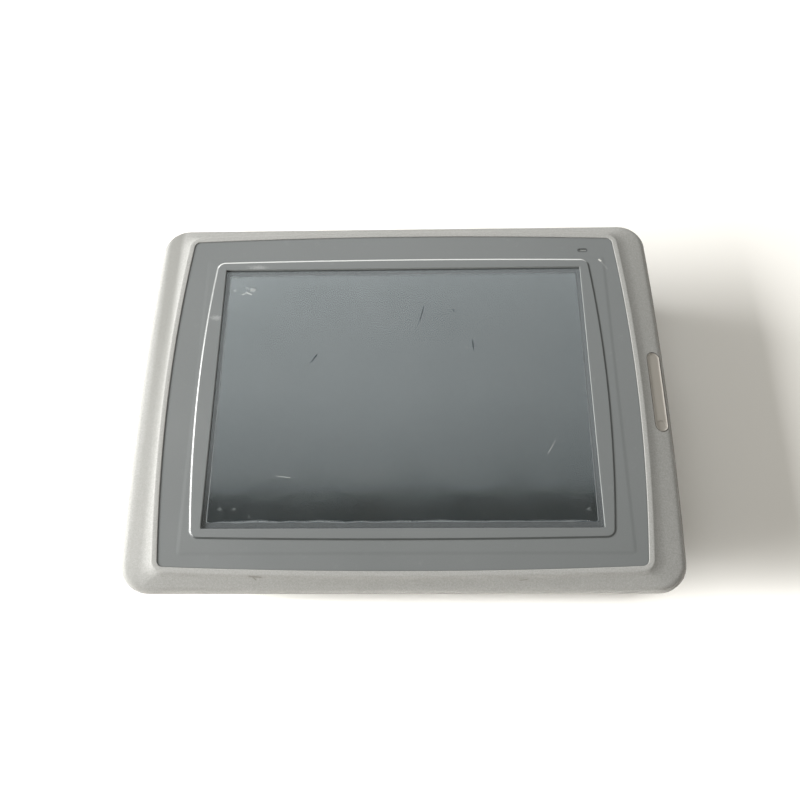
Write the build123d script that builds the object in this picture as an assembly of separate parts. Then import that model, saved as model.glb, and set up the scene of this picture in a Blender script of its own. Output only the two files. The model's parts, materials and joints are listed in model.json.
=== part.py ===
from build123d import *
import math
import os

# Ten-inch operator panel with a resistive touch screen, lying on its back.
# Millimetres. +X is the viewer's right, +Y the panel's top edge, +Z out of the screen.
# The origin is the middle of the flat back, so z = 0 is the surface it rests on.

# ---------------------------------------------------------------- driving sizes
OUTER_HALF_W = 152.0         # bezel half width at the middle of its bowed sides
OUTER_HALF_H = 114.0
OUTER_SIDE_BOW = 2.6         # how much the sides bulge between their corners
OUTER_CORNER_R = 15.0
LIP_TOP = 58.0               # highest face of the whole panel
FLANGE_BACK = 48.0           # bezel face that lies towards the cabinet door
RIM_R = 2.6                  # rounding between outer wall and sloping band
RIM_Z = 51.5                 # height where that rounding starts
RIM_ANGLES = (0, 14, 28, 42, 56, 70)
BAND_TOP = 56.2              # foot of the raised lip
FOOT_HALF_W, FOOT_HALF_H = 139.6, 107.9
CREST_STEPS = ((3.1, 57.6), (2.75, 57.86), (2.2, LIP_TOP))    # growth of the label outline, height

LABEL_HALF_W = 133.9         # recess that the printed front label lies in
LABEL_HALF_H = 104.0
LABEL_SIDE_BOW = 5.3
LABEL_TOP_BOW = 2.6
LABEL_CORNER_R = 3.0
LABEL_FLOOR = 56.5
LABEL_T = 0.5
LABEL_GAP = 0.15

PLATEAU_HALF_W = 117.3       # embossed field round the screen window
PLATEAU_HALF_H = 87.3
PLATEAU_SIDE_BOW = 4.4
PLATEAU_TOP_BOW = 1.1
PLATEAU_CORNER_R = 4.5
PLATEAU_TOP = 57.6
PLATEAU_BEVEL = 0.45

WINDOW_W, WINDOW_H = 215.6, 162.2    # opening in the label
TOUCH_W, TOUCH_H = 240.0, 182.0      # touch sensor glass
TOUCH_X, TOUCH_Y = 2.1, -3.5         # its centre, off the window's centre
TOUCH_GLASS_T, TOUCH_FILM_T = 1.6, 0.2
TOUCH_FLOOR = 54.6
LEDGE_BACK = 53.2                    # back of the ledge between sensor and display

LCD_HALF_W, LCD_HALF_H = 123.0, 91.0
LCD_TOP, LCD_BACK = 53.0, 42.0
LCD_POCKET_GAP = 3.0

SKIRT_HALF_W, SKIRT_HALF_H = 143.0, 105.0    # what passes through the cut-out
SKIRT_R = 6.0
WALL = 2.5
SPLIT_Z = 38.0               # joint between chassis frame and rear cover
BASE_BACK = 30.0             # back of the shallow part of the rear cover
BRACKET_TOP = 40.0
BRACKET_T = 1.2

HUMP_HALF_W = 130.0          # deep part of the rear cover
HUMP_BOTTOM_Y, HUMP_TOP_Y = -84.0, 100.0
HUMP_R = 8.0
BACK_EDGE_R = 3.0

PCB_TOP, PCB_T = 32.6, 1.6
PCB_BACK = PCB_TOP - PCB_T
PCB_X0, PCB_X1, PCB_Y0, PCB_Y1 = -112.0, 120.0, -79.5, 70.0

BOSS_R = 4.5
SCREW_R, SCREW_HOLE_R, HEAD_R, HEAD_T = 1.5, 1.55, 2.8, 1.8
COVER_SCREWS = [(sx * 136.5, sy * 98.5) for sx in (-1, 1) for sy in (-1, 1)] + [(0, 98.5), (0, -98.5)]
FRAME_SCREWS = [(sx * 136.5, sy * 50.0) for sx in (-1, 1) for sy in (-1, 1)]
FRAME_SCREWS += [(sx * 70.0, sy * 98.5) for sx in (-1, 1) for sy in (-1, 1)]
BOARD_SCREWS = [(x, y) for x in (-106.0, 0.0, 84.0) for y in (-52.0, 64.0)]

CLAMP_SLOT_L = 16.0          # slots that the mounting clamps hook into
CLAMP_SLOT_Z0 = 33.0
CLAMP_X, CLAMP_Y = 85.0, 72.0

BADGE_X, BADGE_Y, BADGE_L, BADGE_W = 145.6, -1.0, 49.0, 7.6
LED_X, LED_Y, LED_L, LED_W = 110.4, 93.0, 6.2, 2.8

BOOL_EXTRA = 1.0             # how far a cutting tool runs past the face it cuts


# ---------------------------------------------------------------- shape helpers
def block(x0, x1, y0, y1, z0, z1):
    """A box from its limits along each axis."""
    return Pos((x0 + x1) / 2, (y0 + y1) / 2, (z0 + z1) / 2) * Box(x1 - x0, y1 - y0, z1 - z0)


def slab(half_w, half_h, z0, z1, r=0.0, x=0.0, y=0.0):
    """A flat plate with rounded corners, centred on x, y."""
    outline = RectangleRounded(2 * half_w, 2 * half_h, r) if r else Rectangle(2 * half_w, 2 * half_h)
    return Pos(x, y, z0) * extrude(outline, z1 - z0)


def post(x, y, z0, z1, r):
    return Pos(x, y, (z0 + z1) / 2) * Cylinder(r, z1 - z0)


def bar_x(x0, x1, y, z, r):
    return Pos((x0 + x1) / 2, y, z) * Rot(0, 90, 0) * Cylinder(r, x1 - x0)


def bar_y(y0, y1, x, z, r):
    return Pos(x, (y0 + y1) / 2, z) * Rot(90, 0, 0) * Cylinder(r, y1 - y0)


def pill(length, width, z0, z1):
    """A flat plate with round ends, long along Y, centred on the origin."""
    return Pos(0, 0, z0) * extrude(Rot(0, 0, 90) * SlotOverall(length, width), z1 - z0)


def group(shapes):
    """Separate solids kept as one node."""
    return Compound([solid for shape in shapes for solid in shape.solids()])


def barrel(half_w, half_h, side_bow, top_bow, r):
    """A rectangle whose sides bulge, with rounded corners, as a face on z = 0."""
    cx, cy = half_w - side_bow, half_h - top_bow
    corners = [(cx, cy), (-cx, cy), (-cx, -cy), (cx, -cy)]
    middles = [(0, half_h), (-half_w, 0), (0, -half_h), (half_w, 0)]
    edges = []
    for i in range(4):
        start, end = corners[i], corners[(i + 1) % 4]
        bowed = (top_bow if i % 2 == 0 else side_bow) > 0
        edges.append(ThreePointArc(start, middles[i], end) if bowed else Line(start, end))
    face = make_face(Wire(edges))
    return fillet(face.vertices(), r)


def label_outline(grow, r):
    return barrel(LABEL_HALF_W + grow, LABEL_HALF_H + grow, LABEL_SIDE_BOW, LABEL_TOP_BOW, r)


def between(lower, z_lower, upper, z_upper):
    """A straight-sided solid from one outline up to another."""
    return loft([Pos(0, 0, z_lower) * lower, Pos(0, 0, z_upper) * upper], ruled=True)


def screw(x, y, head_z, tip_z):
    """A pan-head screw whose head lies below head_z and whose shank runs up to tip_z."""
    head = post(x, y, head_z - HEAD_T, head_z, HEAD_R)
    cross = Pos(x, y, head_z - HEAD_T) * (Box(3.2, 0.7, 1.6) + Box(0.7, 3.2, 1.6))
    return head - cross + post(x, y, head_z, tip_z, SCREW_R)


# ---------------------------------------------------------------- front
def front_bezel():
    """Silver moulded frame: outer wall, sloping band, raised lip and the label recess."""
    body = Pos(0, 0, FLANGE_BACK) * extrude(rim_outline(0.0), RIM_Z - FLANGE_BACK)
    levels = [(rim_outline(rim_inset(a)), rim_height(a)) for a in RIM_ANGLES]
    levels.append((barrel(FOOT_HALF_W, FOOT_HALF_H, 5.0, 2.2, 8.0), BAND_TOP))
    levels += [(label_outline(grow, LABEL_CORNER_R + grow), z) for grow, z in CREST_STEPS]
    for (lower, z_lower), (upper, z_upper) in zip(levels, levels[1:]):
        body += between(lower, z_lower, upper, z_upper)
    body -= Pos(0, 0, LABEL_FLOOR) * extrude(label_outline(0.0, LABEL_CORNER_R), 5.0)
    body -= slab(TOUCH_W / 2 + 0.6, TOUCH_H / 2 + 0.6, TOUCH_FLOOR, LIP_TOP, 1.0, TOUCH_X, TOUCH_Y)
    body -= slab(108.9, 82.2, FLANGE_BACK - BOOL_EXTRA, LIP_TOP, 1.0)
    pocket_w, pocket_h = LCD_HALF_W + LCD_POCKET_GAP, LCD_HALF_H + LCD_POCKET_GAP
    body -= slab(pocket_w, pocket_h, FLANGE_BACK - BOOL_EXTRA, LEDGE_BACK, 1.0)
    body -= core_ring(pocket_w + 2.0, pocket_h + 1.8)
    body -= gasket_ring(0.1, FLANGE_BACK - BOOL_EXTRA, FLANGE_BACK + 1.5)
    for x, y in FRAME_SCREWS:
        body -= post(x, y, FLANGE_BACK - BOOL_EXTRA, 52.4, SCREW_HOLE_R)
    body -= Pos(LED_X, LED_Y, LEDGE_BACK - BOOL_EXTRA) * extrude(SlotOverall(LED_L, LED_W), 6.0)
    tail_x0, tail_x1 = 52.0, 66.0
    body -= block(tail_x0, tail_x1, -93.9, -92.0, LEDGE_BACK - BOOL_EXTRA, TOUCH_FLOOR + BOOL_EXTRA)
    body -= badge_seat() * pill(BADGE_L + 0.5, BADGE_W + 0.5, -0.45, 5.0)
    return body


def rim_inset(angle):
    return RIM_R * (1 - math.cos(math.radians(angle)))


def rim_height(angle):
    return RIM_Z + RIM_R * math.sin(math.radians(angle))


def rim_outline(inset):
    return barrel(OUTER_HALF_W - inset, OUTER_HALF_H - inset, OUTER_SIDE_BOW, 0.0, OUTER_CORNER_R - inset)


def core_ring(inner_w, inner_h):
    """The channel that keeps the moulding's wall even, with the screw bosses left standing."""
    ring = slab(140.4, 102.4, FLANGE_BACK - BOOL_EXTRA, 52.4, 4.0)
    ring -= slab(inner_w, inner_h, FLANGE_BACK - 2 * BOOL_EXTRA, LIP_TOP, 1.0)
    for x, y in FRAME_SCREWS:
        ring -= post(x, y, FLANGE_BACK - 2 * BOOL_EXTRA, LIP_TOP, BOSS_R)
    return ring


def gasket_ring(gap, z0, z1):
    outer = slab(148.4 + gap, 111.4 + gap, z0, z1, 12.0)
    return outer - slab(144.6 - gap, 107.6 - gap, z0 - BOOL_EXTRA, z1 + BOOL_EXTRA, 8.0)


def badge_seat():
    """Where the name badge lies: on the sloping band, tilted as the band is."""
    edge_x, edge_z = OUTER_HALF_W - rim_inset(RIM_ANGLES[-1]), rim_height(RIM_ANGLES[-1])
    slope = (BAND_TOP - edge_z) / (edge_x - FOOT_HALF_W)
    z = edge_z + (edge_x - BADGE_X) * slope
    tilt = math.degrees(math.atan(slope))
    return Pos(BADGE_X, BADGE_Y, z) * Rot(0, tilt, 0)


def badge_plate():
    """Blank badge with a plain round dimple at its lower end."""
    plate = pill(BADGE_L, BADGE_W, -0.4, -0.05)
    dimple = Pos(0, -BADGE_L / 2 + BADGE_W / 2 + 0.4, -0.18) * extrude(Circle(2.7), 1.0)
    return badge_seat() * (plate - dimple)


def front_label():
    """Printed polyester label with the embossed field, the window and the lamp window."""
    sheet = Pos(0, 0, LABEL_FLOOR) * extrude(label_outline(-LABEL_GAP, LABEL_CORNER_R), LABEL_T)
    z0 = LABEL_FLOOR + LABEL_T
    low = barrel(PLATEAU_HALF_W, PLATEAU_HALF_H, PLATEAU_SIDE_BOW, PLATEAU_TOP_BOW, PLATEAU_CORNER_R)
    high = barrel(PLATEAU_HALF_W - PLATEAU_BEVEL, PLATEAU_HALF_H - PLATEAU_BEVEL,
                  PLATEAU_SIDE_BOW, PLATEAU_TOP_BOW, PLATEAU_CORNER_R - PLATEAU_BEVEL)
    sheet += between(low, z0, high, PLATEAU_TOP)
    sheet -= slab(WINDOW_W / 2, WINDOW_H / 2, LABEL_FLOOR - BOOL_EXTRA, LIP_TOP, 0.6)
    sheet -= Pos(LED_X, LED_Y, LABEL_FLOOR - BOOL_EXTRA) * extrude(SlotOverall(LED_L, LED_W), 4.0)
    return sheet


def status_light_pipe():
    head = Pos(LED_X, LED_Y, LEDGE_BACK + 0.3) * extrude(SlotOverall(LED_L - 0.3, LED_W - 0.3), 3.5)
    return head + block(LED_X - 1.5, LED_X + 1.5, 91.9, 93.7, 42.3, LEDGE_BACK + 0.3)


def status_led():
    """Lamp on its own small board behind the light pipe."""
    board = block(LED_X - 7, LED_X + 7, 91.6, 97.6, BRACKET_TOP, 41.0)
    return board + block(LED_X - 1.6, LED_X + 1.6, 91.8, 93.8, 41.0, 42.2)


def touch_glass():
    z1 = TOUCH_FLOOR + TOUCH_GLASS_T
    return slab(TOUCH_W / 2, TOUCH_H / 2, TOUCH_FLOOR, z1, 0.8, TOUCH_X, TOUCH_Y)


def touch_film():
    z0 = TOUCH_FLOOR + TOUCH_GLASS_T
    return slab(TOUCH_W / 2 - 1, TOUCH_H / 2 - 1, z0, z0 + TOUCH_FILM_T, 0.8, TOUCH_X, TOUCH_Y)


def screen_protector():
    """Clear film stuck on the screen inside the window."""
    z0 = TOUCH_FLOOR + TOUCH_GLASS_T + TOUCH_FILM_T
    return slab(WINDOW_W / 2 - 2.0, WINDOW_H / 2 - 2.4, z0, z0 + 0.1, 2.0)


def touch_tail():
    """Flexible lead of the touch sensor: down past the display, then back to the main board."""
    x0, x1, t = 53.0, 65.0, 0.2
    y = -92.9
    drop = block(x0, x1, y, y + t, 34.0, TOUCH_FLOOR)
    return drop + block(x0, x1, y, -70.0, 34.0 - t, 34.0)


def panel_gasket():
    return gasket_ring(0.0, FLANGE_BACK - 1.0, FLANGE_BACK + 1.4)


# ---------------------------------------------------------------- display module
def lcd_front_frame():
    """Pressed steel frame over the display, open over the picture."""
    skirt_z = 44.0
    shell = slab(LCD_HALF_W, LCD_HALF_H, skirt_z, LCD_TOP, 0.8)
    shell -= slab(LCD_HALF_W - 0.6, LCD_HALF_H - 0.6, skirt_z - BOOL_EXTRA, LCD_TOP - 0.6, 0.4)
    return shell - slab(106.7, 80.3, skirt_z, LCD_TOP + BOOL_EXTRA)


def lcd_cell():
    return slab(118.0, 86.0, 50.7, 52.2)


def optical_sheets():
    return slab(116.0, 85.0, 49.8, 50.6)


def light_guide():
    return slab(111.0, 82.0, 43.6, 49.6)


def backlight_lamps():
    return group(bar_x(-110.0, 110.0, y, 46.6, 1.3) for y in (-84.4, 84.4))


def lamp_reflectors():
    """Folded channels that hold the two lamps against the light guide."""
    channels = []
    for side in (-1, 1):
        outer = block(-109.0, 109.0, 82.4, 87.4, 43.5, 49.7)
        hollow = block(-110.0, 110.0, 82.0, 87.0, 43.9, 49.3)
        channel = outer - hollow
        channels.append(channel if side > 0 else channel.mirror(Plane.XZ))
    return group(channels)


def lcd_rear_tray():
    tray = slab(122.2, 90.2, LCD_BACK, 49.6, 0.6)
    return tray - slab(120.6, 88.6, LCD_BACK + 1.4, 50.6)


def lcd_driver_board():
    board = block(-100.0, 100.0, 62.0, 82.0, 40.8, LCD_BACK)
    for x in (-40.0, 30.0):
        board -= post(x, 78.0, 40.0, 43.0, 1.6)
    return board


def display_bracket():
    """Steel plate with raised pads for the display in front, boards and earth boss behind."""
    z0 = BRACKET_TOP - BRACKET_T
    plate = slab(139.8, 101.8, z0, BRACKET_TOP, 2.0)
    for x, y in COVER_SCREWS:
        plate -= Pos(x, y, z0) * Box(2 * BOSS_R + 2.4, 2 * BOSS_R + 2.4, 6.0)
    for x, y in FRAME_SCREWS:
        plate -= post(x, y, z0 - 1, BRACKET_TOP + 1, 1.7)
    plate -= slab(30.0, 5.0, z0 - 1, BRACKET_TOP + 1, 2.0, 0.0, 55.0)
    plate -= block(51.0, 67.0, -95.0, -91.0, z0 - 1, BRACKET_TOP + 1)
    for y in (-84.4, 84.4):
        plate -= block(124.6, 131.0, y - 3.0, y + 3.0, z0 - 1, BRACKET_TOP + 1)
    for x in (-96.0, -72.0, -48.0, -24.0, 24.0, 48.0, 72.0, 96.0):
        plate -= slab(4.0, 22.0, z0 - 1, BRACKET_TOP + 1, 3.9, x, -8.0)
    for x in (-90.0, 90.0):
        for y in (-70.0, 40.0):
            plate += slab(14.0, 4.0, BRACKET_TOP, LCD_BACK, 2.0, x, y)
    plate += post(EARTH_X, EARTH_Y, BASE_BACK + WALL + 0.1, BRACKET_TOP, 4.0)
    return plate - post(EARTH_X, EARTH_Y, BASE_BACK, BRACKET_TOP + 1, 2.0)


def display_ribbon():
    """Flat cable from the display's driver board, through the bracket, to the main board."""
    x0, x1, t = -24.0, 24.0, 0.3
    top = block(x0, x1, 56.0, 62.0, 41.2, 41.2 + t)
    drop = block(x0, x1, 56.0, 56.0 + t, PCB_TOP + 1.4, 41.2)
    foot = block(x0, x1, 44.0, 56.0 + t, PCB_TOP + 1.4 - t, PCB_TOP + 1.4)
    return top + drop + foot


def lamp_leads():
    """The two high-voltage leads from the lamps to the inverter."""
    r = 0.9
    leads = []
    for side in (1, -1):
        y = 84.4 * side
        start = Vector(123.2, y, 46.6)
        points = [start, (127.6, y, 46.6), (127.6, y, 37.4)]
        points += [(127.6, 81.0, 37.4), (76.0, 81.0, 37.4)] if side < 0 else [(76.0, y, 37.4)]
        path = FilletPolyline(*points, radius=2.6)
        section = Plane(start, z_dir=(1, 0, 0)) * Circle(r)
        leads.append(sweep(section, path=path, transition=Transition.ROUND))
    return group(leads)


# ---------------------------------------------------------------- chassis and cover
def chassis_frame():
    """Ring that passes through the cut-out and ties bezel, display bracket and cover together."""
    ring = slab(SKIRT_HALF_W, SKIRT_HALF_H, SPLIT_Z, FLANGE_BACK, SKIRT_R)
    ring -= slab(SKIRT_HALF_W - WALL, SKIRT_HALF_H - WALL, SPLIT_Z - 1, FLANGE_BACK + 1, SKIRT_R - WALL)
    inside = slab(SKIRT_HALF_W - 0.5, SKIRT_HALF_H - 0.5, SPLIT_Z, FLANGE_BACK, SKIRT_R - 0.5)
    for x, y in COVER_SCREWS:
        ring += post(x, y, SPLIT_Z, FLANGE_BACK, BOSS_R) & inside
    for x, y in FRAME_SCREWS:
        ring += post(x, y, BRACKET_TOP, FLANGE_BACK, BOSS_R) & inside
    for x, y in COVER_SCREWS + FRAME_SCREWS:
        ring -= post(x, y, SPLIT_Z - 1, FLANGE_BACK + 1, SCREW_HOLE_R)
    return ring


def frame_screws():
    return group(screw(x, y, BRACKET_TOP - BRACKET_T, 51.6) for x, y in FRAME_SCREWS)


def hump(inset, z0, z1, r):
    """The deep part of the rear cover, pulled in by inset on every side."""
    half_h = (HUMP_TOP_Y - HUMP_BOTTOM_Y) / 2
    mid_y = (HUMP_TOP_Y + HUMP_BOTTOM_Y) / 2
    return slab(HUMP_HALF_W - inset, half_h - inset, z0, z1, r, 0.0, mid_y)


HATCH_Y0, HATCH_Y1, HATCH_Z0, HATCH_Z1 = -41.0, 41.0, 4.0, 29.4    # pocket in the right side
HATCH_FLOOR_X = 124.5
HINGE_X, HINGE_Z, HINGE_PIN_R = 128.3, 6.3, 0.7

PORT_Z0, PORT_Z1, PORT_X0, PORT_X1 = 13.0, 29.6, -112.0, 94.0      # opening for the connectors

CARD_Y0, CARD_Y1, CARD_Z0, CARD_Z1 = -34.0, 9.6, 23.4, 27.9        # free space for a memory card
EJECT_Y, EJECT_Z, EJECT_HALF = 15.0, 25.7, 2.0
DIP_Y, DIP_Z, DIP_PITCH, DIP_TRAVEL = 27.0, 26.0, 2.54, 1.8
RESET_Y, RESET_Z, RESET_R = 37.0, 26.0, 1.7


def rear_cover():
    """Dark moulded cover: a shallow rim over the whole cut-out and a deep hump for the boards."""
    shell = slab(SKIRT_HALF_W, SKIRT_HALF_H, BASE_BACK, SPLIT_Z, SKIRT_R)
    base_edge = [e for e in shell.edges() if abs(e.center().Z - BASE_BACK) < 0.01]
    shell = fillet(base_edge, 1.5)
    deep = hump(0.0, 0.0, BASE_BACK + 1.0, HUMP_R)
    deep = fillet([e for e in deep.edges() if abs(e.center().Z) < 0.01], BACK_EDGE_R)
    shell += deep
    shell -= slab(SKIRT_HALF_W - WALL, SKIRT_HALF_H - WALL, BASE_BACK + WALL, SPLIT_Z + 1, SKIRT_R - WALL)
    shell -= hump(WALL, WALL, SPLIT_Z + 1, HUMP_R - WALL)
    shell += cover_bosses()
    shell += hatch_pocket_walls()
    for x, y in COVER_SCREWS:
        shell -= post(x, y, BASE_BACK - 1, SPLIT_Z + 1, 1.7)
        shell -= post(x, y, BASE_BACK - 1, BASE_BACK + 2.4, 3.2)
    shell -= clamp_slots()
    shell -= block(PORT_X0, PORT_X1, HUMP_BOTTOM_Y - 1, HUMP_BOTTOM_Y + WALL + 1, PORT_Z0, PORT_Z1)
    shell -= vents()
    shell -= hatch_cuts()
    shell -= slab(48.0, 27.0, -1.0, 0.4, 2.0, 40.0, -38.0)
    shell -= post(EARTH_X, EARTH_Y, BASE_BACK - 1, BASE_BACK + WALL + 1, 2.2)
    return shell


def cover_bosses():
    inside = slab(SKIRT_HALF_W - 0.5, SKIRT_HALF_H - 0.5, BASE_BACK, SPLIT_Z, SKIRT_R - 0.5)
    bosses = [post(x, y, BASE_BACK + 1, SPLIT_Z, BOSS_R) & inside for x, y in COVER_SCREWS]
    return Part() + bosses


def clamp_slots():
    """Notches along the rim, two on each side, open towards the chassis frame."""
    half = CLAMP_SLOT_L / 2
    cuts = []
    for side in (-1, 1):
        y_wall = side * SKIRT_HALF_H
        x_wall = side * SKIRT_HALF_W
        for s in (-1, 1):
            cuts.append(block(s * CLAMP_X - half, s * CLAMP_X + half, y_wall - 5, y_wall + 5,
                              CLAMP_SLOT_Z0, SPLIT_Z + 1))
            cuts.append(block(x_wall - 5, x_wall + 5, s * CLAMP_Y - half, s * CLAMP_Y + half,
                              CLAMP_SLOT_Z0, SPLIT_Z + 1))
    return Part() + cuts


def vents():
    """Rows of slots through the back and through the top wall."""
    cuts = []
    for i in range(14):
        x = -107.0 + i * 7.0
        cuts.append(slab(1.3, 19.0, -1.0, WALL + 1.0, 1.25, x, 62.0))
        cuts.append(slab(1.3, 19.0, -1.0, WALL + 1.0, 1.25, x + 123.0, 62.0))
    for i in range(24):
        x = -103.5 + i * 9.0
        cuts.append(block(x - 1.3, x + 1.3, HUMP_TOP_Y - WALL - 1, HUMP_TOP_Y + 1, 8.0, 24.0))
    return Part() + cuts


def hatch_pocket_walls():
    """Walls behind the side hatch, so that only the controls show through it."""
    x1 = HUMP_HALF_W - 1.0
    outer = block(HATCH_FLOOR_X - 2, x1, HATCH_Y0 - 2, HATCH_Y1 + 2, WALL - 0.5, BASE_BACK + 0.6)
    return outer


def hatch_cuts():
    pocket = block(HATCH_FLOOR_X, HUMP_HALF_W + 1, HATCH_Y0, HATCH_Y1, HATCH_Z0, HATCH_Z1)
    x0, x1 = HATCH_FLOOR_X - 3, HATCH_FLOOR_X + 1
    cuts = pocket + block(x0, x1, CARD_Y0 - 0.5, CARD_Y1 + 0.5, CARD_Z0 - 0.3, CARD_Z1 + 0.3)
    grow = EJECT_HALF + 0.5
    cuts += block(x0, x1, EJECT_Y - grow, EJECT_Y + grow, EJECT_Z - grow, EJECT_Z + grow)
    cuts += block(x0, x1, DIP_Y - 5.4, DIP_Y + 5.4, DIP_Z - 3.2, DIP_Z + 3.2)
    cuts += bar_x(x0, x1, RESET_Y, RESET_Z, RESET_R + 0.5)
    cuts += bar_y(HATCH_Y0 - 1.9, HATCH_Y1 + 1.9, HINGE_X, HINGE_Z, HINGE_PIN_R + 0.3)
    return cuts


def cover_screws():
    return group(screw(x, y, BASE_BACK + 2.4, 46.0) for x, y in COVER_SCREWS)


def rating_label():
    """Blank stick-on plate in its recess on the back."""
    return slab(47.5, 26.5, 0.15, 0.4, 1.8, 40.0, -38.0)


def side_hatch():
    """Snap-shut door over the memory card and the setting switches, with its two hinge pins."""
    gap = 0.3
    y0, y1 = HATCH_Y0 + gap, HATCH_Y1 - gap
    door = block(HUMP_HALF_W - 1.8, HUMP_HALF_W, y0, y1, HATCH_Z0 + 0.8, HATCH_Z1 - gap)
    low_edges = [e for e in door.edges().filter_by(Axis.Y) if e.center().Z < HATCH_Z0 + 1.0]
    door = fillet(low_edges, 0.85)
    door += bar_y(y0, y1, HINGE_X, HINGE_Z, 1.3)
    door += bar_y(HATCH_Y0 - 1.6, HATCH_Y1 + 1.6, HINGE_X, HINGE_Z, HINGE_PIN_R)
    for i in range(5):
        z = HATCH_Z1 - 2.6 - i * 1.2
        door -= block(HUMP_HALF_W - 0.4, HUMP_HALF_W + 1, -9.0, 9.0, z - 0.3, z + 0.3)
    return door


# ---------------------------------------------------------------- boards
def main_board():
    board = block(PCB_X0, PCB_X1, PCB_Y0, PCB_Y1, PCB_BACK, PCB_TOP)
    for x, y in BOARD_SCREWS:
        board -= post(x, y, PCB_BACK - 1, PCB_TOP + 1, 1.7)
    return board


def board_standoffs():
    """Hexagonal spacers between the bracket and the main board."""
    spacers = []
    for x, y in BOARD_SCREWS:
        hexagon = Pos(x, y, PCB_TOP) * extrude(RegularPolygon(3.0, 6), BRACKET_TOP - BRACKET_T - PCB_TOP)
        spacers.append(hexagon - post(x, y, PCB_TOP - 1, BRACKET_TOP, SCREW_HOLE_R))
    return group(spacers)


def board_screws():
    return group(screw(x, y, PCB_BACK, 37.0) for x, y in BOARD_SCREWS)


def ribbon_sockets():
    """Flat-cable sockets on the front of the main board."""
    top = PCB_TOP + 1.1
    display = block(-26.0, 26.0, 38.0, 44.0, PCB_TOP, PCB_TOP + 2.6)
    touch = block(52.0, 66.0, -70.0, -64.0, PCB_TOP, top + 1.0)
    return group([display, touch])


def processor():
    """Square chip with its rows of gull-wing legs."""
    body = slab(14.0, 14.0, PCB_BACK - 3.2, PCB_BACK - 0.3, 0.5, -20.0, 8.0)
    legs = []
    for i in range(14):
        s = -11.7 + i * 1.8
        legs.append(block(-20 + s - 0.3, -20 + s + 0.3, 8 - 15.6, 8 + 15.6, PCB_BACK - 0.9, PCB_BACK))
        legs.append(block(-20 - 15.6, -20 + 15.6, 8 + s - 0.3, 8 + s + 0.3, PCB_BACK - 0.9, PCB_BACK))
    return body + legs


def heat_sink():
    """Extruded fins on the processor."""
    top = PCB_BACK - 3.2
    sink = block(-36.0, -4.0, -8.0, 24.0, top - 12.0, top)
    for i in range(7):
        x = -33.6 + i * 4.4
        sink -= block(x, x + 2.8, -9.0, 25.0, top - 13.0, top - 2.2)
    return sink


def memory_chips():
    return group(block(x - 11, x + 11, y - 5.2, y + 5.2, PCB_BACK - 1.2, PCB_BACK)
                 for x, y in ((22.0, 20.0), (22.0, 4.0), (52.0, 20.0), (52.0, 4.0)))


def power_capacitors():
    """Upright capacitors of the supply, each with its rolled groove."""
    cans = []
    for x, y, r in ((-96.0, -34.0, 6.3), (-80.0, -34.0, 6.3), (-96.0, -10.0, 5.0)):
        can = post(x, y, PCB_BACK - 20.0, PCB_BACK, r)
        groove = post(x, y, PCB_BACK - 3.6, PCB_BACK - 2.6, r + 1)
        groove -= post(x, y, PCB_BACK - 4, PCB_BACK, r - 0.5)
        cans.append(can - groove)
    return group(cans)


def battery_holder():
    cup = post(-70.0, 40.0, PCB_BACK - 5.0, PCB_BACK, 12.0)
    cup -= post(-70.0, 40.0, PCB_BACK - 6.0, PCB_BACK - 1.2, 10.2)
    return cup - block(-74.0, -66.0, 26.0, 34.0, PCB_BACK - 6.0, PCB_BACK - 1.2)


def backup_battery():
    return post(-70.0, 40.0, PCB_BACK - 4.6, PCB_BACK - 1.2, 10.0)


def buzzer():
    can = post(-100.0, 45.0, PCB_BACK - 9.5, PCB_BACK, 6.0)
    return can - post(-100.0, 45.0, PCB_BACK - 10.5, PCB_BACK - 7.0, 1.2)


def inverter_board():
    """Backlight supply: a long board on the bracket with its transformer and lead sockets."""
    z1 = BRACKET_TOP - BRACKET_T - 1.6
    board = block(-50.0, 76.0, 74.0, 92.0, z1 - 1.4, z1)
    for x in (-44.0, 60.0):
        board += post(x, 87.0, z1, BRACKET_TOP - BRACKET_T, 2.6)
    board += block(-20.0, 4.0, 76.0, 90.0, z1 - 9.0, z1 - 1.4)
    board += block(14.0, 30.0, 78.0, 88.0, z1 - 7.0, z1 - 1.4)
    return board


# ---------------------------------------------------------------- connectors
PLATE_Y0, PLATE_Y1 = -81.4, -80.4
DSUB_Z = 23.4
COM1_X, COM2_X = -58.0, -4.0
DE9_PITCH, DB25_PITCH = 24.99, 47.04
POWER_X, POWER_Z0, POWER_Z1, POWER_HALF_W = -97.0, 18.6, 29.4, 7.2
TERMINAL_PITCH, TERMINAL_R = 5.08, 1.95
LAN_X, USB_B_X, USB_A_X = 42.0, 62.0, 80.0
EARTH_X, EARTH_Y = 112.0, -94.0
JACK_R = 1.42


def dsub_outline(width, grow=0.0):
    """The D shape of a connector shell, long along X, on the XZ plane."""
    half_w, half_h, lean = width / 2 + grow, 4.15 + grow, 1.5
    corners = [(-half_w, half_h), (half_w, half_h), (half_w - lean, -half_h), (-half_w + lean, -half_h)]
    return fillet(make_face(Polyline(*corners, close=True)).vertices(), 2.0)


def along_y(face, x, z, y0, y1):
    """Extrudes a face drawn in X and Z from y0 to y1."""
    plane = Plane(origin=(x, y1, z), x_dir=(1, 0, 0), z_dir=(0, -1, 0))
    return extrude(plane * face, y1 - y0)


def port_body(x, half_w, y_front, y_back, z0):
    """A connector's box: low enough in front to pass the cover, full height where the board is."""
    front = block(x - half_w, x + half_w, y_front, y_back, z0, PORT_Z1 - 0.2)
    return front + block(x - half_w, x + half_w, -79.5, y_back, PORT_Z1 - 0.4, PCB_BACK)


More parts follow.
